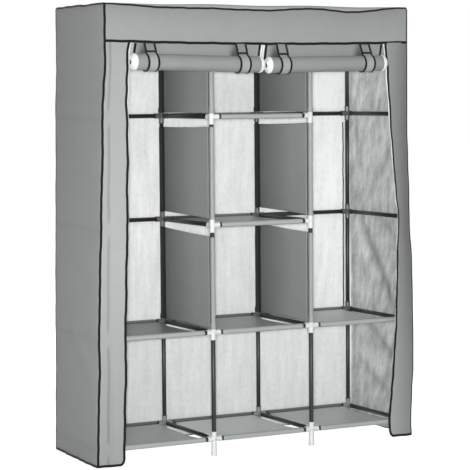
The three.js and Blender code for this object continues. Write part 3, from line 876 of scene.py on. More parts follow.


# Painted shade for the shelves: the panel darker towards the back and right, and a dark back sleeve.
shelf_tones = {"panel": shelf_shade, "front": 0.98, "back": 0.30, "flanks": 0.0}
shelf_length = BAY - 2 * SHELF_INSET
for level, (tier, z) in enumerate(zip(TIERS, TIER_Z)):
    for index, (bay, x) in enumerate(zip(BAYS, LADDER_X)):
        node = f"shelf_{tier}_{bay}"
        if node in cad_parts:
            shells = sleeved_shells(
                shelf_length, SHELF_SAG, (1, 0, 0), (0, 1, 0), (0, 0, 1),
                (x + SHELF_INSET, CENTRE_Y, z), shelf_tones, SEEDS_PER_TIER * level + index,
            )
            shells[0]["tone"] *= SHELF_PAINTED_LIGHT_AND_SHADE_SHARES.get((tier, bay), 1.0)
            shelf = cloth_piece(f"cloth_{node}", shells, [SHELF_CLOTH], "shelf_cloth", node)

# Dividers: the same sleeved cloth, standing, on the front and back posts of the middle bay. Only
# the friction of their sleeves holds them, so each has slipped its own way, some down to the hubs.
DIVIDER_LOW = {"second": (0.0118, 0.0118), "third": (0.020, 0.031), "fourth": (0.0118, 0.0118)}
DIVIDER_HIGH = {
    "left_inner": {"second": (0.044, 0.029), "third": (0.036, 0.041), "fourth": (0.039, 0.050)},
    "right_inner": {"second": (0.044, 0.029), "third": (0.027, 0.036), "fourth": (0.039, 0.050)},
}
SLEEVE_WIDENING = 0.24
SLEEVE_REACH = 0.018
WIDE_TO = 0.034
WIDE_FADE = 0.008
DIVIDER_SEED = 50
DIVIDER_TONE = 1.17
DIVIDER_BACK_SHADE, DIVIDER_LOW_SHADE = 0.72, 0.05
DIVIDER_SHADE_FROM, DIVIDER_SHADE_POWER = -0.4, 1.2


def divider_shade(u, v):
    """Deep in shade by the back post, lighter towards the front."""
    behind = np.clip((u - DIVIDER_SHADE_FROM) / (1 - DIVIDER_SHADE_FROM), 0, 1) ** DIVIDER_SHADE_POWER
    return DIVIDER_TONE - DIVIDER_BACK_SHADE * behind - DIVIDER_LOW_SHADE * (1 - v)


def slipped(points, x, z, edges):
    """Moves a divider's points to its own edges, which run straight from the front post to the back.

    A height share between the two tiers becomes the same share between the low and the high edge.
    Beside a connector the sleeve is wider, by a factor that fades with the height above the hub and
    with the distance from the post.
    """
    back_share = np.clip((points[:, 1] - ROW_Y["front"]) / (2 * HALF_DEPTH), 0, 1)
    low, high = (front + (back - front) * back_share for front, back in edges)
    height = (points[:, 2] - z) / RISE
    points[:, 2] = z + low + (RISE - low - high) * height
    to_hub = np.minimum(points[:, 2] - z, z + RISE - points[:, 2])
    at_socket = np.clip((WIDE_TO - to_hub) / WIDE_FADE, 0, 1)
    for y in ROW_Y.values():
        from_post = points[:, :2] - (x, y)
        near = np.clip((SLEEVE_REACH - np.linalg.norm(from_post, axis=1)) / WIDE_FADE, 0, 1)
        points[:, :2] += from_post * (SLEEVE_WIDENING * at_socket * near)[:, None]


# Painted tones for the dividers: painted light on the front sleeve, painted shade on the back sleeve and on
# the sleeves' flanks.
divider_tones = {"panel": divider_shade, "front": 1.18, "back": 0.16, "flanks": 0.38}
for ladder, x in zip(LADDERS[1:-1], LADDER_X[1:-1]):
    for level, (tier, z) in enumerate(zip(TIERS[1:-1], TIER_Z[1:-1])):
        shells = sleeved_shells(
            RISE, 0.0, (0, 0, 1), (0, 1, 0), (-1, 0, 0),
            (x, CENTRE_Y, z), divider_tones, DIVIDER_SEED + SEEDS_PER_TIER * level + int(x > CENTRE_X),
        )
        edges = (DIVIDER_LOW[tier], DIVIDER_HIGH[ladder][tier])
        for shell in shells:
            slipped(shell["points"], x, z, edges)
        node = f"divider_{ladder}_above_{tier}"
        divider = cloth_piece(f"cloth_{node}", shells, [DIVIDER_CLOTH], "divider_cloth", node)


# Cover, the shape that its panels share: a rounded box round the frame that hangs close at the
# top and spreads towards its hem, more at the left front corner than at the others.
COVER_RADIUS = 0.01236
COVER_CLOTH_THICKNESS = 0.0010
HEM_Z = 0.004
LEFT_FLARE = {"front": 0.046, "back": 0.023}
RIGHT_FLARE = {"front": 0.027, "back": 0.014}
TIER_BULGE = 0.003
LEFT_FLARE_SHARES = [
    (0, 1), (0.1, 0.91), (0.22, 0.76), (0.29, 0.78), (0.37, 0.67), (0.57, 0.46), (0.68, 0.3),
    (0.78, 0.26), (0.83, 0.12), (0.87, 0),
]
RIGHT_FLARE_SHARES = [
    (0, 0.72), (0.03, 0.6), (0.11, 0.78), (0.16, 1), (0.24, 1), (0.33, 0.9), (0.42, 0.76),
    (0.5, 0.4), (0.57, 0.32), (0.66, 0.14), (0.72, 0),
]
INSIDE = (CENTRE_X, CENTRE_Y, TOP_Z / 2)
CORNER_STEPS = 6


def read_table(table, share):
    """Smooth reading of (height share, value share) rows: between two rows the value eases in and out."""
    heights, values = np.array(table).T
    share = np.clip(share, heights[0], heights[-1])
    i = np.clip(np.searchsorted(heights, share, side="right") - 1, 0, len(heights) - 2)
    t = (share - heights[i]) / (heights[i + 1] - heights[i])
    return values[i] + (values[i + 1] - values[i]) * t * t * (3 - 2 * t)


def corner_flare(side, row, z):
    """How far a corner of the cover stands out to the side at a height."""
    table, flare = (LEFT_FLARE_SHARES, LEFT_FLARE) if side < 0 else (RIGHT_FLARE_SHARES, RIGHT_FLARE)
    return read_table(table, z / TOP_Z) * flare[row]


def tier_bulge(z):
    """The cloth stands out between the tiers and is drawn in, with a crease, at each tier's rails."""
    phase = np.mod((z - TIER_Z[0]) / RISE, 1.0)
    return TIER_BULGE * np.sqrt(np.abs(np.sin(math.pi * phase)))


def rounded(centre, direction, radius=COVER_RADIUS):
    """A point of the rounded box: from a centre, a radius out along a direction."""
    direction = direction / np.linalg.norm(direction, axis=-1, keepdims=True)
    return centre + direction * radius


def corner_leans(steps=CORNER_STEPS):
    """Leans round a corner up to 45 degrees: the tangents of even angles, without the first at 0."""
    return np.tan(np.linspace(0, math.pi / 4, steps + 1)[1:])


def stations(steps):
    """Places across a panel as (share between the posts, lean round the corner up to 45 degrees)."""
    lean = corner_leans()
    past_post = np.ones_like(lean)
    share = np.concatenate([-past_post, np.linspace(-1, 1, steps + 1), past_post])
    return share, np.concatenate([-lean[::-1], np.zeros(steps + 1), lean])


def wall_grid(steps, rows):
    """The stations across and the heights up a wall, as grids of share, lean, height and row lean.

    The row lean is 0 up to the top rail, and runs over the rail up to 45 degrees.
    """
    share, lean = stations(steps)
    over_rail = corner_leans()
    z = np.concatenate([np.linspace(HEM_Z, TOP_Z, rows + 1), np.full_like(over_rail, TOP_Z)])
    row_lean = np.concatenate([np.zeros(rows + 1), over_rail])
    grids = np.broadcast_arrays(share[None, :], lean[None, :], z[:, None], row_lean[:, None])
    return [grid.copy() for grid in grids]


def fold(a, b, start, end, width, depth):
    """A soft fold along a line from start to end in the plane of a and b, fading out at its ends."""
    start, end = np.asarray(start, float), np.asarray(end, float)
    run = end - start
    length = np.linalg.norm(run)
    run = run / length
    along = ((a - start[0]) * run[0] + (b - start[1]) * run[1]) / length
    away = (a - start[0]) * run[1] - (b - start[1]) * run[0]
    fade = np.clip(np.minimum(along, 1 - along) * 4 + 0.6, 0, 1)
    return depth * fade * np.exp(-((away / width) ** 2))


# Cover, left and right sides: each a single width of cloth from front to back. The left one shows
# from outside, creased where it crosses the rails, and the right one shows its lining inside.
RIGHT_FOLDS = [
    ((0.90, 0.86), (-0.40, 0.45), 0.030, 0.0090),
    ((0.15, 0.84), (-0.95, 0.66), 0.028, 0.0050),
    ((0.85, 0.44), (-0.60, 0.24), 0.024, 0.0070),
    ((-0.50, 1.12), (0.40, 0.92), 0.024, 0.0050),
    ((0.88, 1.22), (0.80, 0.86), 0.030, 0.0070),
    ((0.85, 0.25), (-0.50, 0.10), 0.022, 0.0060),
]
FOLD_SHADE = 34.0
FOLD_SHADE_LIMITS = (-0.06, 0.3)
CREASE_SHADE, CREASE_WIDTH = 0.05, 0.012
SIDE_STEPS, SIDE_ROWS = 72, 260
SIDE_TONE = 0.925
FRONT_LIGHTENING = 0.06
MIDDLE_LIGHTENING = 0.10
MIDDLE_LIGHT_AT = 0.4
MIDDLE_LIGHT_WIDTH = 0.3
RIGHT_LINING_LOW, RIGHT_LINING_HIGH = 0.60, 0.87
LEFT_FOLDS = [
    ((-0.90, 0.30), (0.20, 0.47), 0.030, 0.0030),
    ((-0.80, 1.05), (0.60, 1.20), 0.035, 0.0022),
    ((-0.60, 0.62), (0.80, 0.76), 0.034, -0.0022),
]


def side_drape(side, share, z):
    """The sum of a side's folds, which die out at its two corners."""
    y_place = share * HALF_DEPTH
    folds = RIGHT_FOLDS if side > 0 else LEFT_FOLDS
    return sum(
        fold(y_place, z, (a[0] * HALF_DEPTH, a[1]), (b[0] * HALF_DEPTH, b[1]), width, depth)
        for a, b, width, depth in folds
    ) * (1 - share ** 4)


def side_points(side, share, lean, z, row_lean):
    """The side panel: between the corners it stands out by the mean of their flares and a bulge."""
    back_share = (share + 1) / 2
    front, back = corner_flare(side, "front", z), corner_flare(side, "back", z)
    swell = tier_bulge(z) * (1 - share ** 2) ** 0.5
    y_place = share * HALF_DEPTH
    out = HALF_WIDTH + front + (back - front) * back_share + swell + side_drape(side, share, z)
    centre = np.stack([CENTRE_X + side * out, CENTRE_Y + y_place, z], axis=-1)
    direction = np.stack([np.full_like(lean, side), lean, row_lean], axis=-1)
    return rounded(centre, direction)


def above_tier(z):
    """How far a height lies above the nearest tier's rails, or below them as a negative length."""
    return (np.mod((z - TIER_Z[0]) / RISE + 0.5, 1.0) - 0.5) * RISE


def crease_tone(z):
    """Painted shade along a crease's fold."""
    return 1 - CREASE_SHADE * np.exp(-((above_tier(z) / CREASE_WIDTH) ** 2))


def cover_side(word, side, lining):
    """One side of the cover, as the sheet that it was cut from.

    The outside carries painted light towards its front edge and across the middle height, and painted
    shade along its creases. The lining of the right side carries painted shade, more so towards the floor
    and in its folds.
    """
    share, lean, z, row_lean = wall_grid(SIDE_STEPS, SIDE_ROWS)
    points = side_points(side, share, lean, z, row_lean)
    middle = np.exp(-((z / TOP_Z - MIDDLE_LIGHT_AT) / MIDDLE_LIGHT_WIDTH) ** 2)
    tone = SIDE_TONE * crease_tone(z) * (1 - FRONT_LIGHTENING * share) * (1 + MIDDLE_LIGHTENING * middle)
    back_tone = tone
    if side > 0:
        in_folds = np.clip(FOLD_SHADE * side_drape(side, share, z), *FOLD_SHADE_LIMITS)
        low_to_high = RIGHT_LINING_LOW + (RIGHT_LINING_HIGH - RIGHT_LINING_LOW) * z / TOP_Z
        back_tone = crease_tone(z) * (1 - in_folds) * low_to_high
    shell = cloth_shell(points, COVER_CLOTH_THICKNESS, INSIDE, tone, back_tone)
    node = f"cover_{word}_side"
    piece = cloth_piece(f"cloth_{node}", [shell], [COVER_CLOTH, lining], "cover_cloth", node)


cover_side("left", -1, LINING)
cover_side("right", 1, CREASED_LINING)


# Cover, back: a plain wide panel. Its lining is what the photograph shows through the open front.
BACK_FOLDS = [
    ((-0.52, 0.20), (-0.46, 1.30), 0.022, 0.0016),
    ((0.16, 0.30), (0.10, 1.10), 0.024, -0.0016),
    ((0.55, 0.10), (0.47, 0.95), 0.020, 0.0020),
]
BACK_LOW_SHADE = 0.20
BACK_SHADE_TO = 0.9
BACK_MIDDLE_LIGHTENING = 0.04
BACK_RIGHT_LIGHTENING = 0.11
BACK_STEPS, BACK_ROWS = 150, 180


def back_points(share, lean, z, row_lean):
    """The back panel: flat between the back posts, with a bulge between the tiers."""
    reach = HALF_WIDTH + np.where(share < 0, corner_flare(-1, "back", z), corner_flare(1, "back", z))
    drape = sum(fold(share * HALF_WIDTH, z, *ends, width, depth) for *ends, width, depth in BACK_FOLDS)
    swell = (tier_bulge(z) + drape) * (1 - share ** 2)
    centre = np.stack([CENTRE_X + share * reach, CENTRE_Y + HALF_DEPTH + swell, z], axis=-1)
    return rounded(centre, np.stack([lean, np.ones_like(lean), row_lean], axis=-1))


share, lean, z, row_lean = wall_grid(BACK_STEPS, BACK_ROWS)
# The outside takes painted shade along the creases. The lining adds painted shade towards the floor and
# painted light across the middle and towards the right.
tone = crease_tone(z)
low_shade = 1 - BACK_LOW_SHADE * np.clip(1 - z / BACK_SHADE_TO, 0, 1)
lighter = BACK_MIDDLE_LIGHTENING * (1 - share ** 2) + BACK_RIGHT_LIGHTENING * share
lining_tone = tone * low_shade * (1 + lighter)
points = back_points(share, lean, z, row_lean)
shell = cloth_shell(points, COVER_CLOTH_THICKNESS, INSIDE, tone, lining_tone)
cover_back = cloth_piece("cloth_cover_back", [shell], [COVER_CLOTH, LINING], "cover_cloth", "cover_back")


# Cover, header and top: the header is the band across the front. The seam between it and the top
# sags between the corners, so that the top panel rolls over the front rail.
HEADER_DROP = 0.127
HEADER_ARCH = 0.008
SEAM_SAG = math.radians(68)
SEAM_RISE = math.radians(20)
SEAM_RISE_AT_SHARE, SEAM_RISE_WIDTH_SHARE = 0.30, 0.14
SEAM_DIP = math.radians(37)
SEAM_DIP_AT_SHARE, SEAM_DIP_WIDTH_SHARE = 0.64, 0.15
TOP_DIP = 0.003
TOP_DIP_TO = 3.0
TOP_SAG = 0.0016
HEADER_STEPS, HEADER_ROWS = 220, 44
HEADER_PUFF, HEADER_WAVE = 0.0022, 0.0008
HEADER_WAVE_RATE, HEADER_WAVE_SLANT = 17, 2.2
HEADER_TONE, HEADER_TOP_SHADE = 0.91, 0.19
TOP_STEPS, TOP_WRAP_STEPS, TOP_DEPTH_STEPS = 160, 14, 50


def bay_sag(share):
    """1 at the middle of each bay and 0 at the ladders, as the square of a sine."""
    return np.sin(math.pi * len(BAYS) * (share + 1) / 2) ** 2


def seam_angle(share):
    """The seam's angle round the top rail, above level: 45 degrees at the corners, lower between.

    Right of the middle it rises a little and then dips, each as the exponential of minus the
    squared distance from that place.
    """
    rise = SEAM_RISE * np.exp(-((share - SEAM_RISE_AT_SHARE) / SEAM_RISE_WIDTH_SHARE) ** 2)
    dip = SEAM_DIP * np.exp(-((share - SEAM_DIP_AT_SHARE) / SEAM_DIP_WIDTH_SHARE) ** 2)
    return math.pi / 4 - SEAM_SAG * (1 - share ** 2) + rise - dip


def header_low(share):
    """The height of the header's lower edge."""
    return TOP_Z - HEADER_DROP + HEADER_ARCH * share ** 2


def front_points(share, lean, angle, puff=0.0):
    """Round the top front rail at an angle above level. Below level the cloth hangs straight down.

    Between the ladders the cloth is drawn down onto the rail, by less and less below it.
    """
    level = np.maximum(angle, 0)
    drop = COVER_RADIUS * (angle - level) - TOP_DIP * bay_sag(share) * np.clip(1 + angle / TOP_DIP_TO, 0, 1)
    centre = np.stack(
        [CENTRE_X + share * HALF_WIDTH, CENTRE_Y - HALF_DEPTH + 0 * share, TOP_Z + drop], axis=-1
    )
    reach = np.maximum(np.cos(level), np.sin(level))
    direction = np.stack([lean * reach, -np.cos(level), np.sin(level)], axis=-1)
    return rounded(centre, direction, (COVER_RADIUS + puff)[..., None])


share, lean = stations(HEADER_STEPS)
low = (header_low(share) - TOP_Z) / COVER_RADIUS
high = seam_angle(share)
hang = np.linspace(0, 1, HEADER_ROWS)[:, None]
angle = low[None, :] + (high - low)[None, :] * hang
share_grid, lean_grid = (np.broadcast_to(a[None, :], angle.shape) for a in (share, lean))
header_wave = HEADER_WAVE * np.sin(HEADER_WAVE_RATE * share_grid + HEADER_WAVE_SLANT * hang)
puff = (HEADER_PUFF * (1 - share_grid ** 8) + header_wave) * np.sin(math.pi * hang)
# Painted shade on the header, growing towards its top seam.
header_tone = HEADER_TONE - HEADER_TOP_SHADE * hang ** 2
shell = cloth_shell(
    front_points(share_grid, lean_grid, angle, puff), COVER_CLOTH_THICKNESS, INSIDE, header_tone
)
header = cloth_piece("cloth_cover_header", [shell], [COVER_CLOTH, LINING], "cover_cloth", "cover_header")

share, lean = stations(TOP_STEPS)
wrap = np.linspace(0, 1, TOP_WRAP_STEPS)[:, None]
angle = seam_angle(share)[None, :] + (math.pi / 2 - seam_angle(share))[None, :] * wrap
share_grid, lean_grid = (np.broadcast_to(a[None, :], angle.shape) for a in (share, lean))
front_rows = front_points(share_grid, lean_grid, angle, np.zeros_like(angle))
depth_share, depth_lean = stations(TOP_DEPTH_STEPS)
keep = depth_share > -1
depth_share, depth_lean = depth_share[keep], depth_lean[keep]
x_share, y_share = np.broadcast_arrays(share[None, :], depth_share[:, None])
x_lean, y_lean = np.broadcast_arrays(lean[None, :], depth_lean[:, None])
dip = bay_sag(x_share) * (TOP_DIP * (1 - y_share) / 2 + TOP_SAG * (1 - y_share ** 2))
centre = np.stack([CENTRE_X + x_share * HALF_WIDTH, CENTRE_Y + y_share * HALF_DEPTH, TOP_Z - dip], axis=-1)
top_rows = rounded(centre, np.stack([x_lean, y_lean, np.ones_like(x_lean)], axis=-1))
shell = cloth_shell(np.concatenate([front_rows, top_rows]), COVER_CLOTH_THICKNESS, INSIDE)
cover_top = cloth_piece("cloth_cover_top", [shell], [COVER_CLOTH, LINING], "cover_cloth", "cover_top")


# Cover, strips: the narrow fronts beside the doors. The left one hangs nearly flat; its cloth is painted
# lighter as painted light, with painted shade where its post shows through. The right one's free edge
# swings out in a soft curve.
STRIP_CUT = 0.098
STRIP_BOW = 0.035
STRIP_FLAT = 0.004
STRIP_BEND = 0.022
STRIP_CORNER = 0.022
LEFT_SWING = math.radians(36)
RIGHT_SWING = math.radians(45)
LEFT_NARROWING = 0.0145
LEFT_NARROWING_SHARES = [
    (0.52, 0), (0.66, 0.3), (0.75, 0.42), (0.80, 0.72), (0.86, 1), (0.90, 0.9), (0.935, 0.12),
]
LEFT_SWING_SHARES = [(0, 0.22), (0.3, 0.18), (0.6, 0.12), (0.8, 0.06), (0.92, 0)]
RIGHT_SWING_SHARES = [
    (0.05, 0), (0.16, 0.23), (0.28, 0.6), (0.35, 0.71), (0.43, 0.82), (0.52, 1), (0.58, 0.78),
    (0.68, 0.58), (0.75, 0.44), (0.86, 0.23), (0.92, 0.03),
]
HEADER_GAP = 0.0003
STRIP_STEPS, STRIP_ROWS = 44, 260
LEFT_STRIP_TONE, LEFT_STRIP_HIGH_SHADE = 0.89, 0.20
LEFT_STRIP_LOW_SHADE, LEFT_STRIP_LOW_TO_SHARE = 0.22, 0.45
POST_SHADE, POST_HIDDEN_NEAR_TIER = 0.17, 0.028
POST_AT_SHARE, POST_DRIFT_SHARE, POST_WIDTH_SHARE = 0.10, 0.23, 0.065
RIGHT_STRIP_TONE, RIGHT_STRIP_EDGE_LIGHTENING = 0.57, 0.27
RIGHT_STRIP_LOW_LIGHTENING, RIGHT_STRIP_LOW_TO_SHARE = 0.16, 0.42


def strip_reach(side, length, z):
    """How far a strip has come inward and forward at a length from its corner.

    It runs flat past the post, turns forward round a soft fold and then runs straight, by an angle
    that changes with the height.
    """
    table, most = (LEFT_SWING_SHARES, LEFT_SWING) if side < 0 else (RIGHT_SWING_SHARES, RIGHT_SWING)
    swing = most * read_table(table, z / TOP_Z)
    before = np.minimum(length, corner_flare(side, "front", z) + STRIP_FLAT)
    free = length - before
    turn = np.minimum(free / STRIP_BEND, swing)
    rest = free - turn * STRIP_BEND
    inward = before + STRIP_BEND * np.sin(turn) + rest * np.cos(turn)
    return inward, STRIP_BEND * (1 - np.cos(turn)) + rest * np.sin(turn)


def strip_points(side, across, z):
    """A strip: across runs from the corner seam at -1, over the post's edge at 0, to the free edge at 1.

    The right one runs on the chord to its free edge, bowed out from it by four s times one minus s.
    """
    flare = corner_flare(side, "front", z)
    lean = np.tan(np.clip(-across, 0, 1) * math.pi / 4)
    centre = np.stack([CENTRE_X + side * (HALF_WIDTH + flare), CENTRE_Y - HALF_DEPTH + 0 * z, z], axis=-1)
    corner = rounded(centre, np.stack([side * lean, -np.ones_like(lean), np.zeros_like(lean)], axis=-1))
    share = np.clip(across, 0, 1)
    cut = STRIP_CUT - COVER_RADIUS * math.pi / 4
    if side < 0:
        cut = cut - LEFT_NARROWING * read_table(LEFT_NARROWING_SHARES, z / TOP_Z)
        inward, ahead = strip_reach(side, cut * share, z)
    else:
        edge_in, edge_ahead = strip_reach(side, cut, z)
        bow = STRIP_BOW * 4 * share * (1 - share)
        inward = share * edge_in - bow * edge_ahead
        ahead = share * edge_ahead + bow * edge_in
    flat = np.stack([
        CENTRE_X + side * (HALF_WIDTH + flare - inward),
        CENTRE_Y - HALF_DEPTH - COVER_RADIUS - ahead,
        z + 0 * inward,
    ], axis=-1)
    return np.where((across < 0)[..., None], corner, flat)


def strip_grid(side):
    """The strip's points: its lower free corner is cut round, so its bottom edge rises towards it."""
    across = np.concatenate([np.linspace(-1, 0, CORNER_STEPS + 1)[:-1], np.linspace(0, 1, STRIP_STEPS + 1)])
    across, up = np.meshgrid(across, np.linspace(0, 1, STRIP_ROWS + 1))
    share = np.clip(across, 0, 1)
    into_corner = np.maximum(STRIP_CORNER - (1 - share) * STRIP_CUT, 0)
    lowest = HEM_Z + STRIP_CORNER - np.sqrt(np.maximum(STRIP_CORNER ** 2 - into_corner ** 2, 0))
    highest = header_low(1 - share * STRIP_CUT / HALF_WIDTH) - HEADER_GAP
    z = lowest + (highest - lowest) * up
    return across, z, strip_points(side, across, z)


def strip_tone(side, across, z):
    """The left strip carries painted shade where the post behind it shows through, except at the
    connectors, and painted shade towards its top and its foot.

    The right strip carries painted shade, with painted light towards its free edge and towards the floor.
    """
    height_share = z / TOP_Z
    if side > 0:
        low_light = RIGHT_STRIP_LOW_LIGHTENING * np.clip(1 - height_share / RIGHT_STRIP_LOW_TO_SHARE, 0, 1)
        return RIGHT_STRIP_TONE + RIGHT_STRIP_EDGE_LIGHTENING * np.clip(across, 0, 1) + low_light
    post_at = POST_AT_SHARE + POST_DRIFT_SHARE * (1 - height_share)
    at_post = np.exp(-(((across - post_at) / POST_WIDTH_SHARE) ** 4))
    between = 1 - np.exp(-((above_tier(z) / POST_HIDDEN_NEAR_TIER) ** 4))
    low_shade = LEFT_STRIP_LOW_SHADE * np.clip(1 - height_share / LEFT_STRIP_LOW_TO_SHARE, 0, 1)
    high_shade = LEFT_STRIP_HIGH_SHADE * height_share ** 2
    return LEFT_STRIP_TONE - high_shade - low_shade - POST_SHADE * at_post * between


for side, name, cloth in ((-1, "cover_strip_left", LEFT_STRIP_PAINTED_LIGHT_CLOTH), (1, "cover_strip_right", COVER_CLOTH)):
    across, z, points = strip_grid(side)
    shell = cloth_shell(points, COVER_CLOTH_THICKNESS, INSIDE, strip_tone(side, across, z))
    strip = cloth_piece(f"cloth_{name}", [shell], [cloth, LINING], "cover_cloth", name)


# Piping: black bias tape folded over every edge and stitched into every seam of the cover. A white
# tape lies behind the free edge of each strip, and another covers a seam of the lining.
TAPE_HALF_WIDTH = 0.0046
TAPE_HALF_THICKNESS = 0.0016
TAPE_RING = 14
TAPE_FULLNESS_POWER = 0.8
TAPE_WOBBLE = [(0.0005, 41, 0.0), (0.0004, 97, 1.3)]
HEADER_TAPE_HALF_WIDTH = 0.0034
HEM_TAPE_LIFT = 0.0013
HEM_TAPE_Z = TAPE_HALF_WIDTH + HEM_TAPE_LIFT
PROUD = 0.0006
SEAM_STEPS, SEAM_CORNER_STEPS = 240, 8
PIPING_STEPS = 200
TOP_SEAM_WAVES = [(0.0012, 31, 0.0), (0.0008, 57, 1.0)]


def sine_waves(place, waves):
    """The sum of sine waves at a place in metres, one for each (height, radians a metre, start)."""
    return sum(height * np.sin(place * rate + start) for height, rate, start in waves)


def tape(name, path, outward, slot="cover_cloth", body="root", half_width=TAPE_HALF_WIDTH, finish=BINDING):
    """A flattened oval carried along a path, its flat side facing outward, its ends closed.

    The oval is a superellipse: the cosine and sine are raised to a power under one, so it is
    fuller than an ellipse.
    """
    path = np.asarray(path, float)
    outward = np.broadcast_to(np.asarray(outward, float), path.shape)
    tangent = np.gradient(path, axis=0)
    tangent /= np.linalg.norm(tangent, axis=1, keepdims=True)
    wide = np.cross(tangent, outward)
    wide /= np.linalg.norm(wide, axis=1, keepdims=True)
    proud = np.cross(wide, tangent)
    run = np.concatenate([[0], np.cumsum(np.linalg.norm(np.diff(path, axis=0), axis=1))])
    angle = np.arange(TAPE_RING) * 2 * math.pi / TAPE_RING
    cosine, sine = np.cos(angle), np.sin(angle)
    x = np.sign(cosine) * np.abs(cosine) ** TAPE_FULLNESS_POWER * half_width
    y = np.sign(sine) * np.abs(sine) ** TAPE_FULLNESS_POWER * TAPE_HALF_THICKNESS
    rings = (
        (path + wide * sine_waves(run, TAPE_WOBBLE)[:, None])[:, None, :]
        + wide[:, None, :] * x[None, :, None]
        + proud[:, None, :] * y[None, :, None]
    )
    count = len(path)
    faces = grid_faces(count, TAPE_RING, closed_columns=True)
    points = rings.reshape(-1, 3)
    middle_ring = rings.mean(axis=1)
    signed = np.sum(np.cross(rings[:, 1] - rings[:, 0], tangent) * (rings[:, 0] - middle_ring))
    if signed < 0:
        faces = faces[:, ::-1]
    first = np.arange(TAPE_RING)
    last = first + (count - 1) * TAPE_RING
    caps = [first[::-1], last] if signed > 0 else [first, last[::-1]]
    uv = np.stack([np.tile(angle * half_width, count), np.repeat(run, TAPE_RING)], axis=-1)
    mesh = mesh_from(name, points, [*faces, *caps], uv, np.ones(len(points)), materials=[finish])
    piece = add_object(name, mesh, body)
    return piece


def corner_seam(side, depth):
    """The seam up a corner of the cover, from the hem, over the top rail's end to the top seams.

    The way out from it points level at 45 degrees, and at its end up at the cube's corner.
    """
    lean = corner_leans(SEAM_CORNER_STEPS)
    z = np.concatenate([np.linspace(HEM_TAPE_Z, TOP_Z, SEAM_STEPS), np.full_like(lean, TOP_Z)])
    lift = np.concatenate([np.zeros(SEAM_STEPS), lean])
    row = "front" if depth < 0 else "back"
    centre = np.stack([
        CENTRE_X + side * (HALF_WIDTH + corner_flare(side, row, z)),
        np.full_like(z, CENTRE_Y + depth * HALF_DEPTH),
        z,
    ], axis=-1)
    out = np.stack([np.full_like(z, side), np.full_like(z, depth), lift], axis=-1)
    out /= np.linalg.norm(out, axis=1, keepdims=True)
    return centre + out * (COVER_RADIUS + PROUD), out


def seam_tape(name, centre, out):
    """Piping on a seam: the path lies a cover's radius out from the centre line."""
    out = out / np.linalg.norm(out, axis=-1, keepdims=True)
    tape(name, centre + out * (COVER_RADIUS + PROUD), out)


share, lean = stations(PIPING_STEPS)
level, one, z = np.zeros_like(share), np.ones_like(share), np.full_like(share, HEM_TAPE_Z)
top = np.full_like(share, TOP_Z)
for side, word in ((-1, "left"), (1, "right")):
    for depth, row in ((-1, "front"), (1, "back")):
        tape(f"piping_{word}_{row}_corner", *corner_seam(side, depth))
    y_place = share * HALF_DEPTH
    wave = sine_waves(y_place, TOP_SEAM_WAVES) * (1 - share ** 8)
    centre = np.stack([CENTRE_X + side * HALF_WIDTH * one, CENTRE_Y + y_place, TOP_Z + wave], axis=-1)
    seam_tape(f"piping_{word}_top", centre, np.stack([side * one, lean, one], axis=-1))
    out = np.stack([side * one, lean, level], axis=-1)
    tape(f"piping_{word}_hem", side_points(side, share, lean, z, level) + (side * PROUD, 0, 0), out)

out = np.stack([lean, one, level], axis=-1)
tape("piping_back_hem", back_points(share, lean, z, level) + (0, PROUD, 0), out)
centre = np.stack([CENTRE_X + share * HALF_WIDTH, (CENTRE_Y + HALF_DEPTH) * one, top], axis=-1)
seam_tape("piping_back_top", centre, np.stack([lean, one, one], axis=-1))
angle = seam_angle(share)
rising = np.maximum(angle, 0)
out = np.stack([lean * np.maximum(np.cos(rising), np.sin(rising)), -np.cos(rising), np.sin(rising)], axis=-1)
tape(
    "piping_header_top", front_points(share, lean, angle, PROUD * one), out,
    half_width=HEADER_TAPE_HALF_WIDTH,
)
low = (header_low(share) - TOP_Z) / COVER_RADIUS
out = np.stack([lean, -one, level], axis=-1)
tape("piping_header_low", front_points(share, lean, low, 2 * PROUD * one), out)

STRIP_TAPE_HALF_WIDTH = 0.0026
STRIP_TAPE_OUT = 0.0062
STRIP_TAPE_BEHIND = 0.0012
for side, word in ((-1, "left"), (1, "right")):
    across, z, points = strip_grid(side)
    edge = points[::-1, -1]
    bottom = points[0, ::-1]
    path = np.concatenate([edge, bottom[1:]])
    path[:, 2] = np.maximum(path[:, 2], HEM_TAPE_Z)
    normal = face_normals(points)
    normal = normal * np.sign(-normal[..., 1:2].mean())
    out = np.concatenate([normal[::-1, -1], normal[0, ::-1][1:]])
    tape(f"piping_strip_{word}", path, out)
    onward = points[:, -1] - points[:, -2]
    onward /= np.linalg.norm(onward, axis=1, keepdims=True)
    behind = points[:, -1] + onward * STRIP_TAPE_OUT - normal[:, -1] * STRIP_TAPE_BEHIND
    tape(f"white_tape_{word}", behind, normal[:, -1], half_width=STRIP_TAPE_HALF_WIDTH, finish=LINING)

LINING_SEAM_FROM_POST = {"white": 0.006, "dark": 0.013}
LINING_SEAM_FROM, LINING_SEAM_TO = 0.44, 1.19
LINING_SEAM_STEPS = 90
LINING_SEAM_HALF_WIDTH = 0.0024
LINING_SEAM_PROUD = 0.0016
LINING_SEAM_BULGE_SHARE = 0.05
z = np.linspace(LINING_SEAM_FROM, LINING_SEAM_TO, LINING_SEAM_STEPS)
bulge = tier_bulge(z) * LINING_SEAM_BULGE_SHARE
inside_face = COVER_RADIUS - COVER_CLOTH_THICKNESS - LINING_SEAM_PROUD + bulge
for label, finish in (("white", LINING), ("dark", BINDING)):
    x = CENTRE_X + HALF_WIDTH - LINING_SEAM_FROM_POST[label]
    path = np.stack([np.full_like(z, x), CENTRE_Y + HALF_DEPTH + inside_face, z], axis=-1)
    tape(f"lining_seam_{label}", path, (0, -1, 0), half_width=LINING_SEAM_HALF_WIDTH, finish=finish)


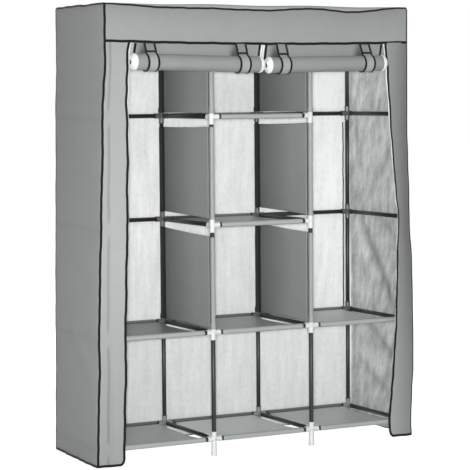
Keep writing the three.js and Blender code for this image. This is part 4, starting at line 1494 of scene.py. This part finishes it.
# Doors: each is one panel of lined cloth, rolled up from the bottom and tied under the header. The
# short stretch between header and roll shows grey, and the lining bulges white from the roll's ends.
ROLL_RADIUS = 0.031
ROLL_GAP = 0.0003
ROLL_BELOW_HEADER = 0.068
CURTAIN_Y = CENTRE_Y - HALF_DEPTH - COVER_RADIUS
ROLL_Y = CURTAIN_Y - ROLL_GAP - ROLL_RADIUS
ROLL_Z = TOP_Z - HEADER_DROP - ROLL_BELOW_HEADER
ROLL_SEEDS = {"left": 3, "right": 8}
ROLL_STEPS, ROLL_ROUND_STEPS = 150, 72
ROLL_WRAP_SHARE = 0.97
ROLL_CLOTH_IN = 0.0012
ROLL_WOUND_IN = 0.0012
ROLL_WRINKLES = [(0.0006, 0, 2), (0.0006, 14, 3), (0.0003, 62, 0)]
ROLL_END = {"left": (0.019, 0.023), "right": (0.014, 0.023)}
ROLL_END_EVEN = 0.020
ROLL_CLOTH_INSET = {"left": (-0.004, 0.021), "right": (0.0, 0.024)}
ROLL_DROOP = {"left": (-0.002, 0.008), "right": (0.010, 0.002)}
ROLL_TONE, ROLL_TOP_LIGHTENING = 0.80, 0.03
CORE_STEPS, CORE_DOME_STEPS, CORE_SIDES = 120, 30, 48
CORE_GAP = 0.0055
CORE_GAP_AT_END = 0.0033
CORE_LIP = 0.0015
CORE_LIP_GAP = 0.0006
CORE_TIP = 0.003
CORE_FULLNESS = 2.1
CORE_TURN = 0.0042
CORE_TURN_DEPTH = 0.0012
CORE_TURN_FADE = 0.004
CORE_TONE, CORE_TURN_SHADE = 1.03, 0.10
ROLLED_HEM_HALF_WIDTH = 0.0030
ROLLED_HEM_OUT = 0.0008
ROLLED_HEM_TURN = (0.45 * math.pi, 1.45 * math.pi)
ROLLED_HEM_RADII = (0.0045, 0.0065)
ROLLED_HEM_STEPS = 40
DOOR_EDGES = {"left": ("outer", "inner"), "right": ("inner", "outer")}
CURTAIN_INSET = {"left": (0.012, -0.005), "right": (0.0055, 0.001)}
CURTAIN_LEAN = 0.008
CURTAIN_TAIL = 0.006
CURTAIN_OVER_ROLL = 0.014
CURTAIN_TOP = header_low(0) - HEADER_GAP
CURTAIN_LOW = ROLL_Z + CURTAIN_OVER_ROLL
CURTAIN_HEIGHT = CURTAIN_TOP - CURTAIN_LOW
CURTAIN_COLUMNS, CURTAIN_ROWS, CURTAIN_EDGE_STEPS = 240, 40, 30
CURTAIN_RIPPLE, CURTAIN_RIPPLE_RATE = 0.0010, 23
CURTAIN_TONE, CURTAIN_TOP_SHADE = 0.90, 0.10
LINING_EDGE_HALF_WIDTH = 0.0040
LINING_EDGE_AWAY = 0.0085
LINING_EDGE_BEHIND = 0.0010
TAB_SHADE = 0.80
TAB_SHADE_WIDTH = 0.016
TAB_SHADE_FADE_SHARE = 0.6
TAB_TONE = 0.86
TAB_PROUD = 0.0022
TAB_STEPS = 12
STRAP_WIDTH = 0.038
STRAP_COLUMNS = 13
STRAP_ARC = (0.60 * math.pi, 1.62 * math.pi)
STRAP_ARC_STEPS, STRAP_UNDER_STEPS, STRAP_RISE_STEPS = 40, 8, 15
STRAP_OVER_ROLL = 0.0013
STRAP_PAST_TOP = 0.010
STRAP_HOOK_SHARE = 0.5
STRAP_THICKNESS = 0.001
STRAP_INSET = (0.054, 0.087)
STRAP_SLANT = -0.012
STRAP_BEHIND = 0.0048
STRAP_EDGE_HALF_WIDTH = 0.0040
STRAP_END_HALF_WIDTH = 0.0044
STRAP_END_PROUD = 0.0012
STRAP_END_ROWS_UP = 2


def roll_radius(x, angle, from_end, seed):
    """The roll's outer radius: a bundle with shallow flats and long wrinkles that die out at its ends."""
    starts = np.random.default_rng(seed).uniform(0, 2 * math.pi, len(ROLL_WRINKLES))
    wrinkles = sum(
        height * np.sin(rate * x + turns * angle + start)
        for (height, rate, turns), start in zip(ROLL_WRINKLES, starts)
    )
    return ROLL_RADIUS - ROLL_CLOTH_IN + wrinkles * np.clip(from_end / ROLL_END_EVEN, 0, 1)


def roll_droop(x, start, end, door):
    """How far below its tied height a roll hangs at a place along it, straight from end to end."""
    at_start, at_end = ROLL_DROOP[door]
    return at_start + (at_end - at_start) * np.clip((x - start) / (end - start), 0, 1)


def press_flat(pieces):
    """Gives each piece its own copy of its mesh."""
    for piece in pieces:
        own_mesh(piece)


def rolled_door(door, seed, start, end):
    """A door's roll: its outer turn, the padded lining inside it, and the end of its rolled hem.

    Past the cloth's ends the lining's radius falls off as the square root of one minus a power of
    the way out. Its end faces carry a spiral, the sine of the angle plus the reach in turns.
    """
    cloth_start, cloth_end = start + ROLL_CLOTH_INSET[door][0], end - ROLL_CLOTH_INSET[door][1]
    body = f"door_{door}"
    turn = np.linspace(0, 2 * math.pi * ROLL_WRAP_SHARE, ROLL_ROUND_STEPS)
    xx, aa = np.meshgrid(np.linspace(cloth_start, cloth_end, ROLL_STEPS), turn)
    from_end = np.minimum(xx - cloth_start, cloth_end - xx)
    radius = roll_radius(xx - start, aa, from_end, seed) - ROLL_WOUND_IN * aa / (2 * math.pi)
    points = np.stack([xx, ROLL_Y + radius * np.cos(aa), ROLL_Z + radius * np.sin(aa)], axis=-1)
    points[..., 2] -= roll_droop(xx, start, end, door)
    # Painted shade over the roll, with a little painted light towards its top.
    roll_tone = ROLL_TONE + ROLL_TOP_LIGHTENING * np.sin(aa)
    shell = cloth_shell(points, COVER_CLOTH_THICKNESS, (CENTRE_X, ROLL_Y, ROLL_Z), roll_tone)
    outer = cloth_piece(
        f"cloth_door_{door}_roll", [shell], [COVER_CLOTH, LINING], "cover_cloth", f"door_{door}_roll",
        body=body,
    )
    bulge = np.sin(np.linspace(0, math.pi / 2, CORE_DOME_STEPS))
    dome = CORE_TIP + (ROLL_RADIUS - CORE_LIP_GAP - CORE_TIP) * np.sqrt(1 - bulge ** CORE_FULLNESS)
    near_bulge, far_bulge = (CORE_LIP + (length - CORE_LIP) * bulge for length in ROLL_END[door])
    near_end = np.stack([cloth_start - near_bulge, dome], axis=-1)[::-1]
    between = np.linspace(cloth_start, cloth_end, CORE_STEPS)
    inward = np.clip(np.minimum(between - cloth_start, cloth_end - between) / ROLL_END_EVEN, 0, 1)
    gap = CORE_GAP_AT_END + (CORE_GAP - CORE_GAP_AT_END) * inward
    middle = np.stack([between, ROLL_RADIUS - gap], axis=-1)
    far_end = np.stack([cloth_end + far_bulge, dome], axis=-1)
    profile = np.vstack([near_end, middle, far_end])
    core_points, core_faces = turned((0, ROLL_Y, ROLL_Z), (1, 0, 0), profile, CORE_SIDES)
    around = core_points - (0, ROLL_Y, ROLL_Z)
    turn = np.arctan2(around[:, 2], around[:, 1])
    reach = np.hypot(around[:, 1], around[:, 2])
    turns = np.sin(reach / CORE_TURN * 2 * math.pi + turn)
    past_end = np.maximum(cloth_start - core_points[:, 0], core_points[:, 0] - cloth_end)
    at_end = np.clip(past_end / CORE_TURN_FADE, 0, 1)
    outward = np.sign(core_points[:, 0] - (cloth_start + cloth_end) / 2)
    core_points[:, 0] += outward * CORE_TURN_DEPTH * turns * at_end
    core_points[:, 2] -= roll_droop(core_points[:, 0], start, end, door)
    uv = np.stack([core_points[:, 0], turn * ROLL_RADIUS], axis=-1)
    # Painted shade in the grooves of the spiral on the end faces.
    core_tone = CORE_TONE - CORE_TURN_SHADE * at_end * np.clip(-turns, 0, 1)
    core_mesh = mesh_from(
        f"lining_door_{door}_roll", core_points, core_faces, uv, core_tone, materials=[LINING]
    )
    core = add_object(f"lining_door_{door}_roll", core_mesh, body)
    coil_angle = np.linspace(*ROLLED_HEM_TURN, ROLLED_HEM_STEPS)
    coil_radius = np.linspace(*ROLLED_HEM_RADII, ROLLED_HEM_STEPS)
    coil_x = cloth_start - ROLL_END[door][0] - ROLLED_HEM_OUT
    path = np.stack([
        np.full_like(coil_angle, coil_x),
        ROLL_Y + coil_radius * np.cos(coil_angle),
        ROLL_Z - roll_droop(coil_x, start, end, door) + coil_radius * np.sin(coil_angle),
    ], axis=-1)
    hem_end = tape(
        f"piping_door_{door}_rolled_hem", path, (-1, 0, 0), body=body, half_width=ROLLED_HEM_HALF_WIDTH
    )
    press_flat([outer, core, hem_end])


def hanging_curtain(door, start, end, strap_places):
    """The stretch of a door between the header and its roll, with its piping.

    Beside a strap's tab it is in shade, by the exponential of minus the squared distance from it.
    """
    curtain_start, curtain_end = start + CURTAIN_INSET[door][0], end - CURTAIN_INSET[door][1]
    xx, zz = np.meshgrid(
        np.linspace(curtain_start, curtain_end, CURTAIN_COLUMNS),
        np.linspace(CURTAIN_LOW, CURTAIN_TOP, CURTAIN_ROWS),
    )
    up_share = (zz - CURTAIN_LOW) / CURTAIN_HEIGHT
    ripple = CURTAIN_RIPPLE * np.sin(CURTAIN_RIPPLE_RATE * (xx - start)) * np.sin(math.pi * up_share)
    share = (xx - CENTRE_X) / HALF_WIDTH
    lift = (header_low(share) - header_low(0)) * up_share
    leaning = xx - CURTAIN_LEAN * (1 - up_share)
    points = np.stack([leaning, CURTAIN_Y + ripple, zz + lift], axis=-1)
    # Painted shade on the curtain, growing towards the header, and the painted shadow of each strap's tab
    # beside it.
    tone = CURTAIN_TONE - CURTAIN_TOP_SHADE * up_share
    for place in strap_places:
        from_tab = place - STRAP_SLANT * up_share - STRAP_WIDTH / 2 - leaning
        beside = np.exp(-((np.maximum(from_tab, 0) / TAB_SHADE_WIDTH) ** 2)) * (from_tab > -STRAP_WIDTH)
        tone = tone * (1 - TAB_SHADE * beside * (1 - TAB_SHADE_FADE_SHARE * up_share))
    shell = cloth_shell(points, COVER_CLOTH_THICKNESS, INSIDE, tone)
    curtain = cloth_piece(
        f"cloth_door_{door}_curtain", [shell], [CURTAIN_CLOTH, CURTAIN_LINING], "cover_cloth",
        f"door_{door}_curtain", body=None,
    )
    edges = []
    z = np.linspace(CURTAIN_LOW - CURTAIN_TAIL, CURTAIN_TOP, CURTAIN_EDGE_STEPS)
    for side, place in zip(DOOR_EDGES[door], (curtain_start, curtain_end)):
        leaning = place - CURTAIN_LEAN * (CURTAIN_TOP - z) / CURTAIN_HEIGHT
        path = np.stack([leaning, np.full_like(z, CURTAIN_Y - PROUD), z], axis=-1)
        edges.append(tape(f"piping_door_{door}_{side}", path, (0, -1, 0), body=None))
        if side == "inner":
            past_edge = LINING_EDGE_AWAY if door == "left" else -LINING_EDGE_AWAY
            edges.append(tape(
                f"lining_door_{door}_edge", path + (past_edge, LINING_EDGE_BEHIND + PROUD, 0), (0, -1, 0),
                body=None, half_width=LINING_EDGE_HALF_WIDTH, finish=LINING,
            ))
    for piece in [curtain, *edges]:
        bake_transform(piece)


def roll_straps(door, start, end, strap_places):
    """A door's two straps, with their piping: a tab from the header, round the roll and up behind it.

    The tab and the arc round the roll stand in front. A straight stretch leads under the roll to a
    hook behind the curtain, from where the strap rises.
    """
    arc = np.linspace(*STRAP_ARC, STRAP_ARC_STEPS)
    wrap_radius = ROLL_RADIUS + STRAP_OVER_ROLL
    front = np.stack([ROLL_Y + wrap_radius * np.cos(arc), ROLL_Z + wrap_radius * np.sin(arc)], axis=-1)
    tab_top = np.array([CURTAIN_Y - TAB_PROUD, CURTAIN_TOP])
    tab = tab_top + (front[0] - tab_top) * np.linspace(0, 1, TAB_STEPS)[:-1, None]
    behind_y = CURTAIN_Y + STRAP_BEHIND
    hook = np.array([behind_y, ROLL_Z - ROLL_RADIUS * STRAP_HOOK_SHARE])
    under = front[-1] + (hook - front[-1]) * np.linspace(0, 1, STRAP_UNDER_STEPS)[1:, None]
    rise_z = np.linspace(hook[1], CURTAIN_TOP + STRAP_PAST_TOP, STRAP_RISE_STEPS)[1:]
    rise = np.stack([np.full_like(rise_z, behind_y), rise_z], axis=-1)
    path = np.vstack([tab, front, under, rise])
    down_tab = np.arange(len(path)) / len(tab)
    slant = STRAP_SLANT * np.clip(1 - down_tab, 0, 1)
    offset = np.linspace(-0.5, 0.5, STRAP_COLUMNS) * STRAP_WIDTH
    tone = np.where(down_tab < 1, TAB_TONE, 1.0)[:, None]
    for side, centre_x in zip(DOOR_EDGES[door], strap_places):
        across = centre_x - slant[:, None] + offset[None, :]
        strap_z = path[:, 1] - roll_droop(centre_x, start, end, door) * np.clip(down_tab, 0, 1)
        points = np.stack(np.broadcast_arrays(across, path[:, :1], strap_z[:, None]), axis=-1)
        shell = cloth_shell(points, STRAP_THICKNESS, (centre_x, ROLL_Y, ROLL_Z), tone)
        strap = cloth_piece(
            f"strap_{door}_{side}", [shell], [COVER_CLOTH], "strap_cloth", f"door_{door}_straps"
        )
        pieces = [strap]
        outward = face_normals(points)
        outward = outward * np.sign(np.sum(outward * (points - np.array([centre_x, ROLL_Y, ROLL_Z]))))
        for label, column in (("left", 0), ("right", -1)):
            pieces.append(tape(
                f"piping_strap_{door}_{side}_{label}", points[:, column], outward[:, column],
                "strap_cloth", half_width=STRAP_EDGE_HALF_WIDTH,
            ))
        row = len(tab) - STRAP_END_ROWS_UP
        pieces.append(tape(
            f"piping_strap_{door}_{side}_end", points[row] + outward[row] * STRAP_END_PROUD, outward[row],
            "strap_cloth", half_width=STRAP_END_HALF_WIDTH,
        ))
        press_flat(pieces)


for door, seed in ROLL_SEEDS.items():
    low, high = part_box(f"door_{door}_roll")
    strap_places = (low.x + STRAP_INSET[0], high.x - STRAP_INSET[1])
    rolled_door(door, seed, low.x, high.x)
    hanging_curtain(door, low.x, high.x, strap_places)
    roll_straps(door, low.x, high.x, strap_places)
